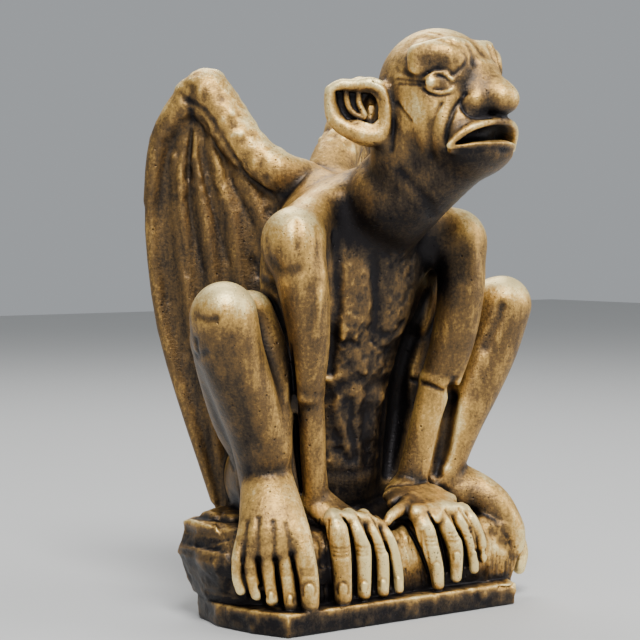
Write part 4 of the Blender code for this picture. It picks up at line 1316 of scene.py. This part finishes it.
@dataclass(frozen=True)
class PatinaAndLightFinish:
    """Dark patina in the hollows of a pitted casting, with gold paint dry-brushed over what stands out, and
    painted highlights and painted shade over both.

    Attributes:
        hollow: Colour of what isn't painted, and of the deepest painted shade.
        rubbed: Colour where the gold is thickest, and of the brightest painted highlight.
        hollow_at: Where the first stands on the scale of wear and painted light, from 0 to 1.
        rubbed_at: The same for the second.
        shades: The colours between them, brown, bronze and gold, and where each stands on that scale.
        cloud_share: How much soft patches scatter the paint.
        grain_share: The same for the casting's grain.
        brush_share: The same for upright marks of the brush.
        up_gold_and_light_share: How much more gold, and painted light from above, lies on what faces up.
        metallic: Of the paint.
    """

    hollow: Colour = (0.010, 0.008, 0.009, 1.0)
    rubbed: Colour = (1.0, 0.80, 0.37, 1.0)
    hollow_at: float = 0.08
    rubbed_at: float = 0.88
    shades: tuple[tuple[float, Colour], ...] = (
        (0.26, (0.058, 0.040, 0.024, 1.0)),
        (0.46, (0.19, 0.110, 0.040, 1.0)),
        (0.68, (0.66, 0.39, 0.10, 1.0)),
    )
    cloud_share: float = 0.30
    grain_share: float = 0.50
    brush_share: float = 0.36
    up_gold_and_light_share: float = 0.14
    metallic: float = 0.70

    def build(self) -> bpy.types.Material:
        """Make the material."""
        shader = Shader("patina_and_painted_light_over_cast_stone")
        place = shader.node("TexCoord").outputs["Object"]
        dry_brush_and_light, open_air = (shader.node("Attribute", attribute_name=name).outputs["Fac"]
                            for name in ("dry_brush_and_light", "open_air"))
        grain = shader.noise(place, 700, 4, 0.7)
        pits = self.pits(shader, place)
        # The dry-brushed wear, with the painted highlights and painted shade that the vertices carry.
        wear_and_light = dry_brush_and_light
        for noise, share in ((shader.noise(place, 45, 3), self.cloud_share), (grain, self.grain_share),
                             (shader.noise(place, 320, 3, 0.6, stretch=0.22), self.brush_share)):
            wear_and_light = shader.math("MULTIPLY_ADD", shader.math("SUBTRACT", noise, 0.5), share, wear_and_light)
        # Darker where little air is open round the surface: partly patina gathered in deep recesses, partly
        # painted shade between the limbs.
        wear_and_light = shader.math("MULTIPLY", wear_and_light, shader.spread(open_air, 0.08, 0.50))
        # What faces up takes more gold, and a painted light from above as well.
        up = shader.node("SeparateXYZ", {0: shader.node("NewGeometry").outputs["Normal"]}).outputs["Z"]
        wear_and_light = shader.math("MULTIPLY_ADD", up, self.up_gold_and_light_share, wear_and_light)
        ramp = shader.node("ValToRGB", {0: wear_and_light})
        stops = ramp.color_ramp.elements
        stops[0].position, stops[0].color = self.hollow_at, self.hollow
        stops[1].position, stops[1].color = self.rubbed_at, self.rubbed
        for at, colour in self.shades:
            stops.new(at).color = colour
        dark = shader.math("MULTIPLY", pits, 0.8)
        mixed = shader.node("Mix", {0: dark, 6: ramp.outputs[0], 7: self.hollow}, data_type="RGBA")
        ripple = shader.noise(place, 330, 3, stretch=2.8)
        height = shader.math("MULTIPLY_ADD", ripple, 0.5, shader.math("MULTIPLY", grain, 0.6))
        height = shader.math("SUBTRACT", height, shader.math("MULTIPLY", pits, 1.3))
        bump = shader.node("Bump", {"Strength": 0.6, "Distance": 0.0006, "Height": height})
        rough = shader.math("MULTIPLY_ADD", grain, 0.25, 0.32)
        painted = {"Base Color": mixed.outputs[2], "Roughness": rough, "Normal": bump.outputs[0]}
        for name, socket in painted.items():
            shader.tree.links.new(socket, shader.surface.inputs[name])
        shader.surface.inputs["Metallic"].default_value = self.metallic
        return shader.material

    def pits(self, shader: Shader, place: Any) -> Any:
        """Air-bubble pits in three sizes, thicker in some areas than in others.

        Args:
            shader: The material that they belong to.
            place: Its object coordinates.

        Returns:
            The pits, from 0 to 1.
        """
        patches = shader.spread(shader.noise(place, 30, 2), 0.45, 0.62)
        total = 0.0
        for scale, rare in ((300, 0.985), (560, 0.93), (1000, 0.84)):
            cells = shader.node("TexVoronoi", {"Vector": place, "Scale": scale})
            near = shader.spread(cells.outputs["Distance"], 0.24, 0.10)
            chance = shader.node("SeparateColor", {0: cells.outputs["Color"]}).outputs[0]
            level = shader.math("MULTIPLY_ADD", patches, -0.22, rare)
            kept = shader.math("GREATER_THAN", chance, level)
            total = shader.math("MAXIMUM", total, shader.math("MULTIPLY", near, kept))
        return total


@dataclass(frozen=True)
class PlainFinish:
    """Even pale finish for the studio floor."""

    colour: Colour = (0.55, 0.55, 0.54, 1.0)

    def build(self) -> bpy.types.Material:
        """Make the material."""
        shader = Shader("pale_floor")
        shader.surface.inputs["Base Color"].default_value = self.colour
        shader.surface.inputs["Roughness"].default_value = 0.8
        return shader.material


@dataclass(frozen=True)
class Patch:
    """Area painted brighter, or darker where gold is below zero: partly the paint's own rubbing, partly
    painted highlights and painted shade.
    """

    name: str
    middle: tuple[float, float, float]
    radius: float
    gold: float


@dataclass
class Casting:
    """The whole gargoyle as one mesh.

    Attributes:
        clay: The finished clay.
        low: The box's lowest corner, in metres.
        high: Its highest corner.
        wings: The wings, whose skin stays darker.
        faces: How many triangles the mesh has.
        reaches: How far round a point the clay is weighed for fine form, broad form and open air.
        flat_level: How much gold a flat takes, on a scale of 0 to 1.
        proud_weight: How much more gold a fine form that stands proud takes.
        swell_weight: The same for a broad one.
        fold_weight: How much less gold a sharp fold takes.
        edge_weight: How much more gold a sharp edge takes.
        skin_level: How much gold the wings' skin takes.
        skin_pull: How far the wings' skin is drawn to that level.
        rock_shift: How far the rock's colour is moved along the scale of colours; below zero, towards the
            dark end.
        patches: Areas painted brighter or darker: painted highlights and painted shade, with some of the
            paint's own tone.
    """

    clay: Clay
    low: np.ndarray
    high: np.ndarray
    wings: Wings
    faces: int = 192000
    reaches: tuple[float, ...] = (2.5, 6.0, 16.0)
    flat_level: float = 0.46
    proud_weight: float = 0.75
    swell_weight: float = 1.2
    fold_weight: float = 0.8
    edge_weight: float = 0.35
    skin_level: float = 0.33
    skin_pull: float = 0.6
    rock_shift: float = -0.24
    # Painted highlights on the lit knees, shoulders, wing arms, forearm and crown, painted shade in the
    # armpit, groin, throat, mouth and between the hands, with some of the paint's own tone.
    patches: tuple[Patch, ...] = (
        Patch("throat", (8, -52, 205), 30, -0.16),
        Patch("hollow of the right collarbone", (-22, -32, 192), 14, -0.25),
        Patch("belly", (4, -20, 92), 26, -0.25),
        Patch("between the hands", (4, -20, 58), 20, -0.35),
        Patch("back of the right hand", (-8, -28, 52), 13, -0.35),
        Patch("left armpit", (34, -26, 166), 16, -0.35),
        Patch("left flank", (28, -14, 128), 16, -0.30),
        Patch("left of the belly", (34, 0, 104), 16, -0.35),
        Patch("left groin", (30, 0, 80), 17, -0.35),
        Patch("rock between the hands", (8, -41, 26), 15, 0.42),
        Patch("rock by the left foot", (68, -41, 26), 15, 0.44),
        Patch("left forearm", (36, -24, 90), 24, 0.30),
        Patch("breast", (0, -28, 158), 24, -0.10),
        Patch("little toes", (-79, -24, 32), 9, -0.20),
        Patch("right knee", (-87, -28, 160), 16, 0.22),
        Patch("left knee", (87, -28, 160), 16, 0.12),
        Patch("right shoulder", (-56, -36, 188), 16, 0.12),
        Patch("right wing arm", (-36, 36, 236), 28, 0.22),
        Patch("left wing arm", (36, 36, 236), 28, 0.12),
        Patch("crown", (10, -56, 284), 22, 0.14),
        Patch("right brow", (-8, -78, 268), 13, -0.14),
        Patch("cheek", (-12, -74, 241), 19, 0.34),
        Patch("corner of the eye", (6, -85, 258), 7, -0.16),
        Patch("right corner of the mouth", (-4, -89, 229), 12, -0.46),
        Patch("middle of the mouth", (16, -96, 233), 13, -0.44),
        Patch("right ear", (-26, -46, 246), 18, 0.06),
        Patch("bowl of the right ear", (-25, -43, 246), 8, -0.32),
        Patch("right foot", (-64, -34, 46), 16, 0.14),
        Patch("right hand", (-22, -44, 36), 18, 0.14),
        Patch("left hand", (40, -42, 42), 18, 0.16),
        Patch("left foot", (80, -34, 46), 20, -0.06),
    )

    def piece(self, finish: PatinaAndLightFinish) -> bpy.types.Object:
        """Skin the clay, thin the skin out, record where it stands proud and where painted light and shade
        fall, and dress it.

        Args:
            finish: The paint.

        Returns:
            The piece.
        """
        points, quads = self.clay.skin()
        LOG.info("skin of %d points", len(points))
        mesh = bpy.data.meshes.new("skin")
        mesh.vertices.add(len(points))
        mesh.vertices.foreach_set("co", (points * MM).astype(np.float32).ravel())
        mesh.loops.add(4 * len(quads))
        mesh.loops.foreach_set("vertex_index", quads.astype(np.int32).ravel())
        mesh.polygons.add(len(quads))
        mesh.polygons.foreach_set("loop_start", np.arange(0, 4 * len(quads), 4, dtype=np.int32))
        mesh.update(calc_edges=True)
        whole = bpy.data.objects.new("gargoyle_casting", mesh)
        bpy.context.scene.collection.objects.link(whole)
        thin = whole.modifiers.new("thin_out", "DECIMATE")
        thin.ratio = min(1.0, self.faces / (2 * len(quads)))
        graph = bpy.context.evaluated_depsgraph_get()
        thinned = bpy.data.meshes.new_from_object(whole.evaluated_get(graph))
        whole.modifiers.clear()
        whole.data = thinned
        thinned.name = "gargoyle_casting"
        flat = np.empty(3 * len(thinned.vertices), np.float32)
        thinned.vertices.foreach_get("co", flat)
        points = np.clip(flat.reshape(-1, 3), self.low, self.high)
        thinned.vertices.foreach_set("co", points.astype(np.float32).ravel())
        self.mark(thinned, points / MM)
        thinned.materials.clear()
        thinned.materials.append(finish.build())
        thinned.shade_smooth()
        return whole

    def mark(self, mesh: bpy.types.Mesh, points: np.ndarray) -> None:
        """Store on each vertex how far it stands proud, as dry-brushed gold with painted highlights and
        painted shade added, and how open the air round it is.
        """
        fine, middle, broad = self.clay.crowding(points, self.reaches)
        proud, fold = 0.5 - fine, self.crease(mesh, points)
        dry_brush_and_light = self.flat_level + np.where(proud > 0, self.proud_weight, 1.0) * proud
        dry_brush_and_light += self.swell_weight * (0.5 - middle)
        dry_brush_and_light -= np.where(fold > 0, self.fold_weight, self.edge_weight) * fold
        rock, wing = (np.abs(self.clay.sample(points, k)) < limit for k, limit in ((0, 0.5), (1, 1.2)))
        share = (wing & ~rock) * self.wings.skin_share(points)
        dry_brush_and_light += share * (self.skin_level - dry_brush_and_light) * self.skin_pull + self.rock_shift * rock
        # Patches add painted highlights and painted shade to the gold, with some of the paint's own brighter
        # and darker areas.
        for patch in self.patches:
            away = np.linalg.norm(points - patch.middle, axis=1) / patch.radius
            dry_brush_and_light += patch.gold * np.exp(-away**2)
        for name, values in (("dry_brush_and_light", dry_brush_and_light), ("open_air", 1 - broad)):
            mesh.attributes.new(name, "FLOAT", "POINT").data.foreach_set("value", values.astype(np.float32))

    def crease(self, mesh: bpy.types.Mesh, points: np.ndarray) -> np.ndarray:
        """How sharply the skin folds inwards at each vertex, from its neighbours; below zero on a ridge."""
        ends = np.empty(2 * len(mesh.edges), np.int32)
        mesh.edges.foreach_get("vertices", ends)
        normal = np.empty(3 * len(mesh.vertices), np.float32)
        mesh.vertex_normals.foreach_get("vector", normal)
        normal = normal.reshape(-1, 3)
        a, b = ends.reshape(-1, 2).T
        run = points[b] - points[a]
        run /= np.linalg.norm(run, axis=1)[:, None] + 1e-6
        count = np.bincount(ends, minlength=len(points)) + 1e-6
        lift = np.bincount(a, (normal[a] * run).sum(1), len(points))
        lift = (lift - np.bincount(b, (normal[b] * run).sum(1), len(points))) / count
        for _ in range(2):
            spread = np.bincount(a, lift[b], len(points)) + np.bincount(b, lift[a], len(points))
            lift = 0.5 * lift + 0.5 * spread / count
        return lift


@dataclass(frozen=True)
class Lamp:
    """Square soft light, in metres and watts."""

    name: str
    place: tuple[float, float, float]
    size: float
    watts: float


@dataclass
class Studio:
    """Plain pale floor and soft light."""

    span: float = 6.0
    aim: tuple[float, float, float] = (0.0, 0.0, 0.16)
    sky: Colour = (0.80, 0.84, 0.88, 1.0)
    sky_strength: float = 0.45
    lamps: tuple[Lamp, ...] = (
        Lamp("key", (-0.50, -0.95, 1.50), 0.6, 40),
        Lamp("fill", (1.1, -0.9, 0.8), 1.0, 13),
        Lamp("back", (0.4, 0.9, 1.4), 0.9, 14),
    )

    def floor(self) -> bpy.types.Object:
        """Make the floor."""
        corners = [(x * self.span / 2, y * self.span / 2, 0) for x, y in ((-1, -1), (1, -1), (1, 1), (-1, 1))]
        mesh = bpy.data.meshes.new("floor")
        mesh.from_pydata(corners, [], [(0, 1, 2, 3)])
        mesh.materials.append(PlainFinish().build())
        floor = bpy.data.objects.new("floor", mesh)
        floor.location.z = -0.0002
        bpy.context.scene.collection.objects.link(floor)
        return floor

    def light(self) -> None:
        """Hang the lamps, turned to the figure's chest, and make the surroundings pale."""
        for lamp in self.lamps:
            data = bpy.data.lights.new(lamp.name, "AREA")
            data.size, data.energy = lamp.size, lamp.watts
            light = bpy.data.objects.new(lamp.name, data)
            light.location = lamp.place
            light.rotation_euler = (Vector(self.aim) - Vector(lamp.place)).to_track_quat("-Z", "Y").to_euler()
            bpy.context.scene.collection.objects.link(light)
        world = bpy.data.worlds.new("studio")
        world.use_nodes = True
        sky = world.node_tree.nodes["Background"]
        sky.inputs[0].default_value = self.sky
        sky.inputs[1].default_value = self.sky_strength
        bpy.context.scene.world = world


def model_gargoyle(view: PhotoView) -> tuple[Clay, Wings]:
    """Put all masses into the clay and carve them.

    Args:
        view: The viewpoint that paths in pixels are seen from.

    Returns:
        The finished clay, and the wings in it.
    """
    clay = Clay(ruler((-105, 105, 0.65)), ruler((-104, -20, 0.6), (-20, 80, 0.9)),
                ruler((-1.5, 62, 0.6), (62, 205, 0.9), (205, 288, 0.55)))
    sculptor = Sculptor(clay, view)
    base = Base()
    body, wings, head = Body(base.top), Wings(base.top), Head()
    hands, feet = Hands(base), Feet(base)
    base.model(clay)
    wings.model(clay)
    clay.keep()
    body.model(clay)
    hands.model(clay, view)
    feet.model(clay, view)
    head.model(clay)
    for part in (base, body, wings, head, hands, feet):
        part.carve(sculptor)
        LOG.info("carved %s", type(part).__name__)
    clay.cut_flat()
    return clay, wings


def main() -> None:
    """Build the piece and its studio, attach the piece to the root body, and hide the part that it stands
    for.
    """
    logging.basicConfig(level=logging.INFO, format="%(message)s")
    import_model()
    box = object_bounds()
    low, high = (np.asarray([float(v) for v in corner]) for corner in box)
    view = PhotoView()
    view.camera()
    studio = Studio()
    studio.floor()
    studio.light()
    clay, wings = model_gargoyle(view)
    piece = Casting(clay, low, high, wings).piece(PatinaAndLightFinish())
    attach(piece, "root")
    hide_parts("gargoyle")
    LOG.info("%s: %d faces", piece.name, len(piece.data.polygons))


if __name__ == "__main__":
    main()
